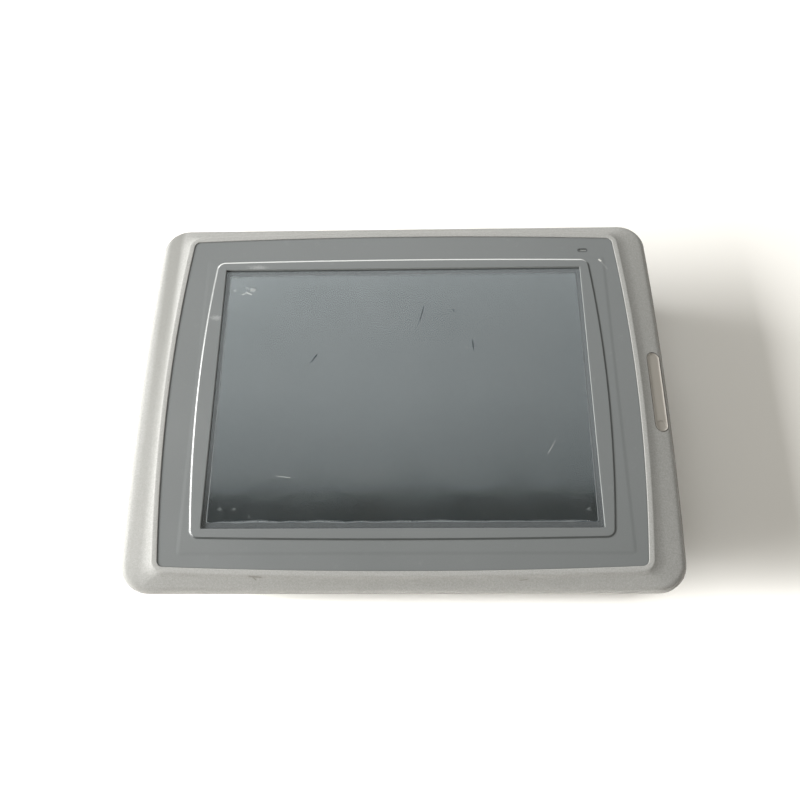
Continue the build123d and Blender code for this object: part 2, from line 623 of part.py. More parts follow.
def port_plate():
    """Steel plate that the connectors sit in."""
    plate = block(PORT_X0 - 3, PORT_X1 + 3, PLATE_Y0, PLATE_Y1, PORT_Z0 - 3, PORT_Z1 + 0.9)
    plug_half = POWER_HALF_W + 0.4
    holes = [block(POWER_X - plug_half, POWER_X + plug_half, -90, -70, POWER_Z0 - 0.4, 31.0)]
    for x, width, pitch in ((COM1_X, 16.9, DE9_PITCH), (COM2_X, 38.9, DB25_PITCH)):
        holes.append(along_y(dsub_outline(width, 0.4), x, DSUB_Z, -90, -70))
        holes += [bar_y(-90, -70, x + s * pitch / 2, DSUB_Z, 1.7) for s in (-1, 1)]
    holes.append(block(LAN_X - 8.2, LAN_X + 8.2, -90, -70, 17.2, 31.0))
    holes.append(block(USB_B_X - 6.2, USB_B_X + 6.2, -90, -70, 19.0, 31.0))
    holes.append(block(USB_A_X - 7.0, USB_A_X + 7.0, -90, -70, 22.6, 31.0))
    return plate - holes


def dsub_shell(x, width, pitch):
    """Plated flange and shell of a serial connector."""
    half_w, half_h = pitch / 2 + 2.9, 5.9
    flange = block(x - half_w, x + half_w, PLATE_Y0 - 0.9, PLATE_Y0, DSUB_Z - half_h, DSUB_Z + half_h)
    flange = fillet(flange.edges().filter_by(Axis.Y), 1.2)
    shell = flange + along_y(dsub_outline(width), x, DSUB_Z, -88.2, PLATE_Y0 - 0.4)
    shell -= along_y(dsub_outline(width, -0.5), x, DSUB_Z, -90, -80)
    for s in (-1, 1):
        shell -= bar_y(-84, -80, x + s * pitch / 2, DSUB_Z, 1.7)
    return shell


def dsub_insert(x, width, columns):
    """Plastic insert with its socket holes."""
    insert = along_y(dsub_outline(width, -0.6), x, DSUB_Z, -87.6, -72.0)
    for row, count in ((1, columns), (-1, columns - 1)):
        for i in range(count):
            hole_x = x + (i - (count - 1) / 2) * 2.77
            insert -= bar_y(-89, -82, hole_x, DSUB_Z + row * 1.42, 0.55)
    return insert + block(x - width / 2 + 2, x + width / 2 - 2, -78.0, -72.0, DSUB_Z, PCB_BACK)


def jackscrews():
    """Threaded hexagonal spacers that a plug's thumbscrews go into."""
    studs = []
    for x, pitch in ((COM1_X, DE9_PITCH), (COM2_X, DB25_PITCH)):
        for s in (-1, 1):
            at = x + s * pitch / 2
            hexagon = along_y(RegularPolygon(2.6, 6), at, DSUB_Z, -87.4, PLATE_Y0 - 0.9)
            shank = bar_y(PLATE_Y0 - 0.9, -77.0, at, DSUB_Z, 1.4)
            studs.append(hexagon + shank - bar_y(-88.4, -82.6, at, DSUB_Z, JACK_R))
    return group(studs)


def ethernet_port():
    """Modular jack: shielded box, open mouth with its latch step, eight contacts."""
    box = port_body(LAN_X, 7.9, -83.4, -65.0, 17.6)
    box -= block(LAN_X - 5.9, LAN_X + 5.9, -90.0, -69.0, 19.2, 27.0)
    box -= block(LAN_X - 3.1, LAN_X + 3.1, -90.0, -75.0, 26.0, 28.6)
    for i in range(8):
        x = LAN_X + (i - 3.5) * 1.02
        box += block(x - 0.2, x + 0.2, -79.0, -68.5, 18.9, 19.7)
    return box


def usb_device_port():
    """Square socket with its centre post."""
    box = port_body(USB_B_X, 5.9, -83.4, -68.0, 19.4)
    box -= block(USB_B_X - 4.3, USB_B_X + 4.3, -90.0, -73.0, 20.6, 28.2)
    return box + block(USB_B_X - 2.8, USB_B_X + 2.8, -82.6, -72.0, 22.8, 26.0)


def usb_host_port():
    """Flat socket with its contact tongue."""
    box = port_body(USB_A_X, 6.7, -83.4, -68.0, 23.0)
    box -= block(USB_A_X - 6.2, USB_A_X + 6.2, -90.0, -70.0, 23.7, 28.7)
    return box + block(USB_A_X - 5.4, USB_A_X + 5.4, -82.6, -69.0, 26.4, 28.2)


def power_header():
    """Board half of the supply connector."""
    box = port_body(POWER_X, POWER_HALF_W, -84.4, -72.4, POWER_Z0)
    inner = POWER_HALF_W - 1
    box -= block(POWER_X - inner, POWER_X + inner, -90.0, -74.4, POWER_Z0 + 1.2, POWER_Z1 - 0.6)
    for side in (-1, 1):
        x = POWER_X + side * TERMINAL_PITCH / 2
        box += block(x - 0.5, x + 0.5, -83.0, -74.0, 23.4, 24.4)
    return box


def power_plug():
    """Pull-off half of the supply connector, with wire entries and screw wells."""
    nose_w, body_w = POWER_HALF_W - 1.3, POWER_HALF_W - 0.3
    nose = block(POWER_X - nose_w, POWER_X + nose_w, -84.8, -75.4, POWER_Z0 + 1.5, POWER_Z1 - 0.9)
    body = block(POWER_X - body_w, POWER_X + body_w, -100.0, -84.7, POWER_Z0 + 0.2, POWER_Z1 - 0.2)
    body += nose
    for side in (-1, 1):
        x = POWER_X + side * TERMINAL_PITCH / 2
        body -= block(x - 0.8, x + 0.8, -84.0, -74.0, 23.0, 24.8)
        body -= block(x - 1.9, x + 1.9, -101.0, -95.0, 22.6, 26.4)
        body -= post(x, -90.0, POWER_Z0 - 1, 22.1, TERMINAL_R + 0.3)
    return body


def terminal_screw(side):
    """Clamp screw in one well of the plug, slotted head towards the back."""
    x = POWER_X + side * TERMINAL_PITCH / 2
    body = post(x, -90.0, POWER_Z0 + 0.8, 21.8, TERMINAL_R)
    return body - Pos(x, -90.0, POWER_Z0 + 0.8) * Box(3.4, 0.7, 1.4)


def earth_screw():
    """Protective earth: a square nut plate inside and a machine screw with its washer."""
    z = BASE_BACK
    head = post(EARTH_X, EARTH_Y, z - 3.4, z - 0.8, 3.6)
    head -= Pos(EARTH_X, EARTH_Y, z - 3.4) * (Box(4.4, 0.9, 2.0) + Box(0.9, 4.4, 2.0))
    washer = post(EARTH_X, EARTH_Y, z - 0.8, z, 4.6)
    return head + washer + post(EARTH_X, EARTH_Y, z, z + 8.0, 1.95)


# ---------------------------------------------------------------- behind the hatch
SLOT_X0, SLOT_X1 = 88.0, 122.4


def card_slot():
    """Guide for a memory card, its two rows of pins and the ejector's channel."""
    frame = block(SLOT_X0, SLOT_X1, CARD_Y0 - 2.0, EJECT_Y + 4.0, CARD_Z0 - 1.0, PCB_BACK)
    frame -= block(SLOT_X0 + 4.0, SLOT_X1 + 1, CARD_Y0, CARD_Y1, CARD_Z0, CARD_Z1)
    grow = EJECT_HALF + 0.15
    y0, y1 = EJECT_Y - grow, EJECT_Y + grow
    frame -= block(SLOT_X0 + 12.0, SLOT_X1 + 1, y0, y1, EJECT_Z - grow, EJECT_Z + grow)
    pins = []
    for row in (-1, 1):
        for i in range(25):
            y = (CARD_Y0 + CARD_Y1) / 2 + (i - 12) * 1.27
            z = (CARD_Z0 + CARD_Z1) / 2 + row * 0.64
            pins.append(block(SLOT_X0 + 3.5, SLOT_X0 + 8.5, y - 0.2, y + 0.2, z - 0.2, z + 0.2))
    return frame + pins


def eject_button():
    x0, x1 = SLOT_X0 + 16.0, 127.4
    y0, y1 = EJECT_Y - EJECT_HALF, EJECT_Y + EJECT_HALF
    bar = block(x0, x1, y0, y1, EJECT_Z - EJECT_HALF, EJECT_Z + EJECT_HALF)
    return fillet(bar.faces().sort_by(Axis.X)[-1].edges(), 0.6)


def dip_switch():
    """Body of the four-way setting switch."""
    body = block(113.0, 122.4, DIP_Y - 6.0, DIP_Y + 6.0, DIP_Z - 4.5, PCB_BACK)
    for i in range(4):
        y = DIP_Y + (i - 1.5) * DIP_PITCH
        body -= block(120.4, 124.0, y - 0.8, y + 0.8, DIP_Z - 1.85, DIP_Z + 1.85)
    return body


def dip_lever(index):
    """One slider of the setting switch, at its off end."""
    y = DIP_Y + (index - 1.5) * DIP_PITCH
    z = DIP_Z - DIP_TRAVEL / 2
    slider = block(120.6, 123.6, y - 0.65, y + 0.65, z - 0.75, z + 0.75)
    return fillet(slider.faces().sort_by(Axis.X)[-1].edges(), 0.2)


def reset_switch():
    body = block(115.0, 121.6, RESET_Y - 3.0, RESET_Y + 3.0, RESET_Z - 3.0, PCB_BACK)
    return body - bar_x(118.0, 122.0, RESET_Y, RESET_Z, RESET_R + 0.3)


def reset_button():
    cap = bar_x(119.2, 125.4, RESET_Y, RESET_Z, RESET_R)
    return fillet(cap.faces().sort_by(Axis.X)[-1].edges(), 0.4)


# ---------------------------------------------------------------- write every piece
SINGLE_PIECES = [
    front_bezel, badge_plate, front_label, status_light_pipe, status_led,
    touch_glass, touch_film, screen_protector, touch_tail, panel_gasket,
    lcd_front_frame, lcd_cell, optical_sheets, light_guide, backlight_lamps, lamp_reflectors,
    lcd_rear_tray, lcd_driver_board, display_bracket, display_ribbon, lamp_leads,
    chassis_frame, frame_screws, rear_cover, cover_screws, rating_label, side_hatch,
    main_board, board_standoffs, board_screws, ribbon_sockets, processor, heat_sink,
    memory_chips, power_capacitors, battery_holder, backup_battery, buzzer,
    inverter_board, port_plate, jackscrews, ethernet_port,
    usb_device_port, usb_host_port, power_header, power_plug, earth_screw,
    card_slot, eject_button, dip_switch, reset_switch, reset_button,
]


def pieces():
    """Every node's name and shape."""
    for make in SINGLE_PIECES:
        yield make.__name__, make()
    shells = [dsub_shell(COM1_X, 16.9, DE9_PITCH), dsub_shell(COM2_X, 38.9, DB25_PITCH)]
    yield "serial_port_shells", group(shells)
    yield "serial_port_inserts", group([dsub_insert(COM1_X, 16.9, 5), dsub_insert(COM2_X, 38.9, 13)])
    for i in range(4):
        yield f"dip_lever_{i + 1}", dip_lever(i)
    yield "terminal_screw_left", terminal_screw(-1)
    yield "terminal_screw_right", terminal_screw(1)


os.makedirs("parts", exist_ok=True)
for name, shape in pieces():
    export_step(shape, f"parts/{name}.step")
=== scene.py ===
"""An operator touch panel on a pale surface: looks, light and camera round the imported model."""
import json
import math

import bpy
from mathutils import Matrix, Vector, noise


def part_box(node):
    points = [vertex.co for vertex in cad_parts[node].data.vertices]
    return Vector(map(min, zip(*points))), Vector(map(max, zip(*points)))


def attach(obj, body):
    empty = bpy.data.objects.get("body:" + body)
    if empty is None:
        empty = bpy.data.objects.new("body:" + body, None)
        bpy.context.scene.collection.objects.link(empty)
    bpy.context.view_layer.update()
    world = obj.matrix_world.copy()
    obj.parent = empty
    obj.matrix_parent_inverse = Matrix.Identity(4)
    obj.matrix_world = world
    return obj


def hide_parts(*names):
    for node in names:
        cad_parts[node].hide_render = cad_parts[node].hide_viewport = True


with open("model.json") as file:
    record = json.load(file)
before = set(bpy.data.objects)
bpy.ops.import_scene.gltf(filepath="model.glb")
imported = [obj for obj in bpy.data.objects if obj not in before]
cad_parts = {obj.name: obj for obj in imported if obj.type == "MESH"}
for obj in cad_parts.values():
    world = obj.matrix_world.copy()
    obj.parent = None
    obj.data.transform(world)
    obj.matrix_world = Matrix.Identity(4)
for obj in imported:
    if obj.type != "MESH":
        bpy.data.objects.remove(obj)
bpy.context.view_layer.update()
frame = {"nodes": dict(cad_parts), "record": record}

MM = 0.001


# ---------------------------------------------------------------- shader helpers
def srgb(r, g, b):
    """Linear colour from 0..255 screen values."""
    def lin(v):
        v /= 255.0
        return v / 12.92 if v <= 0.04045 else ((v + 0.055) / 1.055) ** 2.4
    return (lin(r), lin(g), lin(b), 1.0)


def times(colour, k):
    """The colour, k times as bright."""
    return (colour[0] * k, colour[1] * k, colour[2] * k, 1.0)


class Shade:
    """A material being built. Most methods add nodes and return the last one's output."""

    def __init__(self, name):
        self.mat = bpy.data.materials.new(name)
        self.mat.use_nodes = True
        self.tree = self.mat.node_tree
        self.bsdf = self.tree.nodes["Principled BSDF"]
        self.out = self.tree.nodes["Material Output"]
        self.coord = self.add("ShaderNodeTexCoord").outputs["Object"]

    def add(self, kind, **settings):
        node = self.tree.nodes.new(kind)
        for key, value in settings.items():
            setattr(node, key, value)
        return node

    def put(self, socket, value):
        if isinstance(value, bpy.types.NodeSocket):
            self.tree.links.new(value, socket)
        else:
            socket.default_value = value

    def stretched(self, sx, sy, sz):
        node = self.add("ShaderNodeMapping")
        self.put(node.inputs["Vector"], self.coord)
        node.inputs["Scale"].default_value = (sx, sy, sz)
        return node.outputs[0]

    def noise(self, scale, detail=2.0, rough=0.5, vector=None):
        node = self.add("ShaderNodeTexNoise")
        self.put(node.inputs["Vector"], vector or self.coord)
        node.inputs["Scale"].default_value = scale
        node.inputs["Detail"].default_value = detail
        node.inputs["Roughness"].default_value = rough
        return node.outputs[0]

    def cells(self, scale, feature="F1", vector=None, randomness=1.0):
        node = self.add("ShaderNodeTexVoronoi", feature=feature)
        self.put(node.inputs["Vector"], vector or self.coord)
        node.inputs["Scale"].default_value = scale
        node.inputs["Randomness"].default_value = randomness
        return node.outputs[0]

    def math(self, op, a, b=0.0):
        node = self.add("ShaderNodeMath", operation=op)
        self.put(node.inputs[0], a)
        self.put(node.inputs[1], b)
        return node.outputs[0]

    def times(self, *factors):
        product = factors[0]
        for factor in factors[1:]:
            product = self.math("MULTIPLY", product, factor)
        return product

    def strongest(self, masks):
        masks = list(masks)
        best = masks[0]
        for mask in masks[1:]:
            best = self.math("MAXIMUM", best, mask)
        return best

    def hypot(self, a, b):
        return self.math("SQRT", self.math("ADD", self.times(a, a), self.times(b, b)))

    def span(self, value, lo, hi, out_lo=0.0, out_hi=1.0, smooth=False):
        """Maps lo..hi onto out_lo..out_hi, and holds the end values outside."""
        node = self.add("ShaderNodeMapRange")
        if smooth:
            node.interpolation_type = "SMOOTHSTEP"
        self.put(node.inputs["Value"], value)
        node.inputs["From Min"].default_value = lo
        node.inputs["From Max"].default_value = hi
        node.inputs["To Min"].default_value = out_lo
        node.inputs["To Max"].default_value = out_hi
        return node.outputs[0]

    def mix(self, fac, a, b):
        node = self.add("ShaderNodeMix", data_type="RGBA")
        self.put(node.inputs["Factor"], fac)
        self.put(node.inputs[6], a)
        self.put(node.inputs[7], b)
        return node.outputs[2]

    def touch_up(self, base, mask, strength, colour):
        """Colours the masked places, at most by strength."""
        return self.mix(self.times(mask, strength), base, colour)

    def xyz(self):
        node = self.add("ShaderNodeSeparateXYZ")
        self.put(node.inputs[0], self.coord)
        return node.outputs

    def rect_distance(self, cx, cy, half_w, half_h, radius=0.0):
        """Signed distance to an upright rounded rectangle in X and Y."""
        x, y, _ = self.xyz()
        dx = self.math("SUBTRACT", self.math("ABSOLUTE", self.math("SUBTRACT", x, cx)), half_w - radius)
        dy = self.math("SUBTRACT", self.math("ABSOLUTE", self.math("SUBTRACT", y, cy)), half_h - radius)
        outside = self.hypot(self.math("MAXIMUM", dx, 0.0), self.math("MAXIMUM", dy, 0.0))
        inside = self.math("MINIMUM", self.math("MAXIMUM", dx, dy), 0.0)
        return self.math("SUBTRACT", self.math("ADD", outside, inside), radius)

    def line_mask(self, x0, y0, x1, y1, width):
        """1 on a thin straight stroke in X and Y, tapering at its ends."""
        dx, dy = x1 - x0, y1 - y0
        length = math.hypot(dx, dy)
        ux, uy = dx / length, dy / length
        x, y, _ = self.xyz()
        px, py = self.math("SUBTRACT", x, (x0 + x1) / 2), self.math("SUBTRACT", y, (y0 + y1) / 2)
        along = self.math("ADD", self.times(px, ux), self.times(py, uy))
        across = self.math("SUBTRACT", self.times(py, ux), self.times(px, uy))
        near = self.span(self.math("ABSOLUTE", across), width * 0.3, width, 1.0, 0.0)
        within = self.span(self.math("ABSOLUTE", along), length * 0.35, length * 0.5, 1.0, 0.0)
        return self.times(near, within)

    def spot_mask(self, x0, y0, radius_x, radius_y):
        """1 in the middle of a soft oval spot in X and Y with a ragged outline."""
        x, y, _ = self.xyz()
        dx = self.math("DIVIDE", self.math("SUBTRACT", x, x0), radius_x)
        dy = self.math("DIVIDE", self.math("SUBTRACT", y, y0), radius_y)
        ragged = self.span(self.noise(900.0, 3.0, 0.7), 0.3, 0.7, -0.4, 0.4)
        return self.span(self.math("ADD", self.hypot(dx, dy), ragged), 0.2, 1.0, 1.0, 0.0)

    def bump(self, height, distance, strength=1.0, normal=None):
        node = self.add("ShaderNodeBump")
        self.put(node.inputs["Height"], height)
        node.inputs["Distance"].default_value = distance
        node.inputs["Strength"].default_value = strength
        if normal is not None:
            self.put(node.inputs["Normal"], normal)
        return node.outputs[0]

    def rounded(self, radius):
        """Normal of the surface as if its edges had this radius."""
        node = self.add("ShaderNodeBevel")
        node.samples = 4
        node.inputs["Radius"].default_value = radius
        return node.outputs[0]

    def worn(self, radius):
        """High where the surface turns sharply within the radius."""
        bevel = self.rounded(radius)
        geometry = self.add("ShaderNodeNewGeometry")
        dot = self.add("ShaderNodeVectorMath", operation="DOT_PRODUCT")
        self.put(dot.inputs[0], bevel)
        self.put(dot.inputs[1], geometry.outputs["Normal"])
        return self.span(dot.outputs["Value"], 0.995, 0.8)

    def shader(self, kind, **inputs):
        """A surface of this kind with these inputs."""
        node = self.add(kind)
        for key, value in inputs.items():
            self.put(node.inputs[key], value)
        return node.outputs[0]

    def blend(self, fac, first, second):
        """Mixes two surfaces."""
        node = self.add("ShaderNodeMixShader")
        for socket, value in zip(node.inputs, (fac, first, second)):
            self.put(socket, value)
        return node.outputs[0]

    def surface(self, shader):
        """Makes this the material's surface, in place of the principled one."""
        self.put(self.out.inputs["Surface"], shader)
        return self.mat

    def finish(self, colour, rough, metal=0.0, normal=None, **direct):
        """Fills in the principled surface; direct names more of its inputs, with _ for each space."""
        self.put(self.bsdf.inputs["Base Color"], colour)
        self.put(self.bsdf.inputs["Roughness"], rough)
        self.bsdf.inputs["Metallic"].default_value = metal
        for key, value in direct.items():
            self.bsdf.inputs[key.replace("_", " ")].default_value = value
        if normal is not None:
            self.put(self.bsdf.inputs["Normal"], normal)
        return self.mat


def moulded(name, colour, rough=0.5, grain=1800.0, depth=0.00004, edge=0.0003, metal=0.0, wear=0.25):
    """Textured plastic: fine grain, slow tone changes, handling marks and slightly rubbed edges."""
    s = Shade(name)
    grain_height = s.noise(grain, 3.0, 0.6)
    tone = s.noise(22.0, 3.0)
    marks = s.span(s.noise(90.0, 6.0, 0.7), 0.55, 0.75)
    base = s.mix(tone, times(colour, 0.9), times(colour, 1.08))
    base = s.touch_up(base, marks, 0.18, times(colour, 1.5))
    base = s.touch_up(base, s.worn(edge * 1.5), wear, times(colour, 2.2))
    roughness = s.math("ADD", s.span(tone, 0.3, 0.7, rough - 0.06, rough + 0.06), s.times(marks, -0.08))
    return s.finish(base, roughness, metal, s.bump(grain_height, depth, 0.8, s.rounded(edge)))


def sheet_metal(name, colour, rough, stretch, edge=0.0002):
    """Plated or brushed sheet: fine drawn lines, cloudy plating, dull finger marks."""
    s = Shade(name)
    lines = s.noise(140.0, 4.0, 0.7, s.stretched(*stretch))
    cloud = s.noise(35.0, 3.0)
    base = s.mix(cloud, times(colour, 0.82), times(colour, 1.08))
    spots = s.span(s.noise(320.0, 2.0), 0.66, 0.74)
    base = s.touch_up(base, spots, 0.35, times(colour, 0.5))
    roughness = s.math("ADD", s.span(lines, 0.3, 0.7, rough - 0.08, rough + 0.1), s.times(spots, 0.15))
    return s.finish(base, roughness, 1.0, s.bump(lines, 0.00001, 0.6, s.rounded(edge)))


def circuit_board(name, colour):
    """Solder mask with copper tracks showing through, pads and vias."""
    s = Shade(name)
    tracks = s.cells(190.0, "DISTANCE_TO_EDGE", s.stretched(1.0, 0.55, 1.0), 0.25)
    track = s.span(tracks, 0.03, 0.06, 1.0, 0.0)
    via = s.span(s.cells(420.0), 0.10, 0.16, 1.0, 0.0)
    base = s.touch_up(colour, track, 0.5, times(colour, 2.2))
    base = s.mix(via, base, srgb(196, 190, 170))
    rough = s.span(s.noise(60.0), 0.3, 0.7, 0.25, 0.4)
    return s.finish(base, rough, 0.0, s.bump(s.math("ADD", track, via), 0.00004, 0.7))


# ---------------------------------------------------------------- mesh helpers
SIDE_STEPS, CORNER_STEPS = 28, 9


def barrel(half_w, half_h, side_bow=0.0, top_bow=0.0, r=1.0, x=0.0, y=0.0):
    """Points, in mm, round a rectangle centred on x, y with bulging sides and corners of radius r."""
    hw, hh = half_w - side_bow, half_h - top_bow
    points = []
    corners = [(1, -1, -90), (1, 1, 0), (-1, 1, 90), (-1, -1, 180)]
    for i, (sx, sy, start) in enumerate(corners):
        cx, cy = sx * (hw - r), sy * (hh - r)
        for k in range(CORNER_STEPS + 1):
            a = math.radians(start + 90.0 * k / CORNER_STEPS)
            points.append((cx + r * math.cos(a), cy + r * math.sin(a)))
        nx, ny, nstart = corners[(i + 1) % 4]
        a = math.radians(nstart)
        end = (nx * (hw - r) + r * math.cos(a), ny * (hh - r) + r * math.sin(a))
        begin = points[-1]
        for k in range(1, SIDE_STEPS):
            t = k / SIDE_STEPS
            points.append((begin[0] + (end[0] - begin[0]) * t, begin[1] + (end[1] - begin[1]) * t))
    bowed = []
    for px, py in points:
        bx = side_bow * (1 - (py / hh) ** 2) * px / hw
        by = top_bow * (1 - (px / hw) ** 2) * py / hh
        bowed.append((x + px + bx, y + py + by))
    return bowed


def make_object(name, verts, faces, materials=(), face_slots=None, smooth=True):
    """An object in the scene; its corners are given in mm."""
    mesh = bpy.data.meshes.new(name)
    mesh.from_pydata([Vector(v) * MM for v in verts], [], faces)
    for material in materials:
        mesh.materials.append(material)
    if face_slots:
        mesh.polygons.foreach_set("material_index", face_slots)
    mesh.polygons.foreach_set("use_smooth", [smooth] * len(mesh.polygons))
    mesh.validate()
    mesh.update()
    obj = bpy.data.objects.new(name, mesh)
    bpy.context.scene.collection.objects.link(obj)
    return obj


def bridge(a, b, count):
    """Quads between two rings of vertices, the first numbered from a and the second from b."""
    return [(a + k, a + (k + 1) % count, b + (k + 1) % count, b + k) for k in range(count)]


def rings(name, levels, materials, slots=None):
    """A frame-like mesh through a list of (outline, z), the last ring joined to the first."""
    verts, faces, face_slots = [], [], []
    count = len(levels[0][0])
    for i, (outline, z) in enumerate(levels):
        verts += [(px, py, z) for px, py in outline]
        faces += bridge(i * count, (i + 1) % len(levels) * count, count)
        face_slots += [slots[i] if slots else 0] * count
    return make_object(name, verts, faces, materials, face_slots)


def sheet(name, x_range, y_range, height, steps, material, facing_up=True):
    """A sheet of square cells; height gives z, in mm, from 0..1 along X and Y."""
    verts, faces = [], []
    for i in range(steps + 1):
        for k in range(steps + 1):
            u, v = i / steps, k / steps
            x = x_range[0] + (x_range[1] - x_range[0]) * u
            y = y_range[0] + (y_range[1] - y_range[0]) * v
            verts.append((x, y, height(u, v)))
    for i in range(steps):
        for k in range(steps):
            a = i * (steps + 1) + k
            cell = (a, a + steps + 1, a + steps + 2, a + 1)
            faces.append(cell if facing_up else (cell[0], *reversed(cell[1:])))
    return make_object(name, verts, faces, [material])


def cut(obj, tools):
    """Subtracts the tools and removes them."""
    for tool in tools:
        modifier = obj.modifiers.new("cut", "BOOLEAN")
        modifier.operation = "DIFFERENCE"
        modifier.solver = "EXACT"
        modifier.object = tool
    bpy.context.view_layer.update()
    graph = bpy.context.evaluated_depsgraph_get()
    mesh = bpy.data.meshes.new_from_object(obj.evaluated_get(graph))
    obj.modifiers.clear()
    obj.data = mesh
    for tool in tools:
        bpy.data.objects.remove(tool)


def crisp(obj, degrees):
    """Smooth shading that keeps edges sharper than the angle."""
    mesh = obj.data
    mesh.polygons.foreach_set("use_smooth", [True] * len(mesh.polygons))
    mesh.set_sharp_from_angle(angle=math.radians(degrees))


def pill_points(length, width, steps=14):
    """Outline of a slot with round ends, long along Y, in mm."""
    r, half = width / 2, (length - width) / 2
    points = []
    for sign, start in ((1, 0), (-1, 180)):
        for k in range(steps + 1):
            a = math.radians(start + 180.0 * k / steps)
            points.append((r * math.cos(a), sign * half + r * math.sin(a)))
    return points


def prism(name, points, z0, z1, place):
    """A solid with a flat top and bottom; place is a matrix in mm."""
    count = len(points)
    verts = [place @ Vector((px, py, z)) for z in (z0, z1) for px, py in points]
    faces = [tuple(reversed(range(count))), tuple(range(count, 2 * count))]
    faces += bridge(0, count, count)
    return make_object(name, verts, faces, smooth=False)


# ---------------------------------------------------------------- places on the front, in mm
def in_mm(point):
    return [round(value / MM, 2) for value in point]


_, _, BEZEL_BACK_Z = in_mm(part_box("front_bezel")[0])
HALF_W, HALF_H, LIP_Z = in_mm(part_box("front_bezel")[1])
_, _, RECESS_Z = in_mm(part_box("front_label")[0])
LABEL_Z, FIELD_Z = 57.45, 57.9
FILM_BACK_Z, FILM_EDGE_Z = 56.41, 56.42
PICTURE_HALF_W, PICTURE_HALF_H = 105.6, 79.2
LAMP_X, LAMP_Y, _ = in_mm(sum(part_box("status_light_pipe"), Vector()) / 2)
LAMP_PLACE = Matrix.Translation((LAMP_X, LAMP_Y, 0)) @ Matrix.Rotation(math.radians(90), 4, "Z")
BADGE_X, BADGE_Y = 145.6, -1.0
BAND_INNER_X, BAND_INNER_Z = 139.6, 56.2
BAND_OUTER_X, BAND_OUTER_Z = 150.29, 53.943
RIM_RADIUS, RIM_CENTRE_Z = 4.6, 49.85


# ---------------------------------------------------------------- marks on the front, in metres
# Strokes: start x and y, end x and y, width.
SCUFFS = [
    (-0.0806, -0.1064, -0.0722, -0.1070, 0.0005), (-0.0780, -0.1066, -0.0758, -0.1082, 0.0005),
    (0.0610, -0.1085, 0.0660, -0.1081, 0.0003),
]
NICK = (0.1195, 0.0864, 0.1212, 0.0847, 0.0007)
NICK_TRAIL = (0.1208, 0.0852, 0.1246, 0.0788, 0.0008)
# Scratches on the screen: whether dark, stroke.
SCRATCHES = [
    (True, (0.0132, 0.0560, 0.0103, 0.0440, 0.00035)), (True, (-0.0495, 0.0240, -0.0530, 0.0180, 0.00040)),
    (True, (0.0412, 0.0330, 0.0418, 0.0250, 0.00040)), (False, (-0.0952, 0.0662, -0.0905, 0.0640, 0.00060)),
    (False, (-0.0975, 0.0640, -0.0945, 0.0655, 0.00045)), (False, (0.0370, 0.0280, 0.0390, 0.0262, 0.00035)),
    (True, (0.0300, 0.0530, 0.0312, 0.0512, 0.00050)), (False, (-0.0700, -0.0510, -0.0600, -0.0525, 0.00022)),
    (False, (0.0800, -0.0400, 0.0860, -0.0300, 0.00020)),
]
# Spots: middle x and y, half sizes. Those under the film have their strength first.
LABEL_SMUDGES = [(-0.0884, 0.0826, 0.0075, 0.0018), (-0.1111, 0.0477, 0.0042, 0.0022)]
FILM_SMUDGES = [
    (0.34, (-0.0906, 0.0676, 0.0026, 0.0020)), (0.28, (-0.0943, 0.0690, 0.0017, 0.0013)),
    (0.20, (-0.1017, 0.0762, 0.0024, 0.0018)), (0.20, (-0.1016, 0.0670, 0.0022, 0.0016)),
    (0.14, (-0.0983, -0.0699, 0.0020, 0.0018)), (0.14, (-0.0907, -0.0699, 0.0020, 0.0018)),
    (0.13, (-0.0822, -0.0744, 0.0016, 0.0014)), (0.15, (0.1004, -0.0706, 0.0018, 0.0018)),
]


# ---------------------------------------------------------------- materials of the front
def silver_paint():
    """Silver coat over a fine moulded texture: sparkle, faint dirt, rubbed edges, a few scuffs, and painted
    shade down the left band and on the outer wall.
    """
    s = Shade("silver_paint")
    grain = s.noise(1500.0, 3.0, 0.65)
    coarse = s.noise(520.0, 3.0, 0.6)
    cloud = s.noise(9.0, 3.0)
    flake = s.cells(2600.0)
    base = s.mix(cloud, srgb(143, 143, 140), srgb(152, 152, 150))
    base = s.mix(s.span(grain, 0.42, 0.66, 0.0, 0.7), base, times(srgb(143, 143, 140), 0.82))
    base = s.mix(s.span(flake, 0.0, 0.32, 0.35, 0.0), base, srgb(188, 188, 186))
    speckle = s.span(s.noise(760.0, 2.0, 0.7), 0.35, 0.65)
    base = s.touch_up(base, speckle, 0.30, srgb(122, 122, 118))
    dirt = s.span(s.noise(70.0, 7.0, 0.75), 0.62, 0.74)
    base = s.touch_up(base, dirt, 0.22, srgb(120, 114, 104))
    x, y, z = s.xyz()
    # Painted shade: a darker stripe down the left band, weaker towards its bottom end.
    painted_shade_left_band = s.span(s.math("ABSOLUTE", s.math("ADD", x, 0.1418)), 0.0024, 0.0064, 0.72, 0.0, smooth=True)
    base = s.touch_up(base, painted_shade_left_band, s.span(y, -0.105, 0.04, 0.35, 1.0), srgb(108, 108, 104))
    # Painted shade low on the outer wall, and higher up on its right side, away from the light.
    painted_shade_low_wall = s.times(s.span(z, 0.0518, 0.0490), s.span(x, -0.142, -0.135))
    painted_shade_right_wall = s.times(s.span(z, 0.0546, 0.0512), s.span(x, 0.130, 0.147))
    base = s.touch_up(base, s.math("MAXIMUM", painted_shade_low_wall, painted_shade_right_wall), 0.8, srgb(78, 73, 67))
    base = s.touch_up(base, s.worn(0.0006), 0.12, srgb(200, 200, 196))
    base = s.touch_up(base, s.strongest(s.line_mask(*stroke) for stroke in SCUFFS), 0.6, srgb(98, 94, 88))
    rough = s.span(coarse, 0.3, 0.7, 0.58, 0.72)
    height = s.math("ADD", s.times(coarse, 1.4), grain)
    return s.finish(base, rough, 0.05, s.bump(height, 0.00007, 0.55), Specular_IOR_Level=0.3)


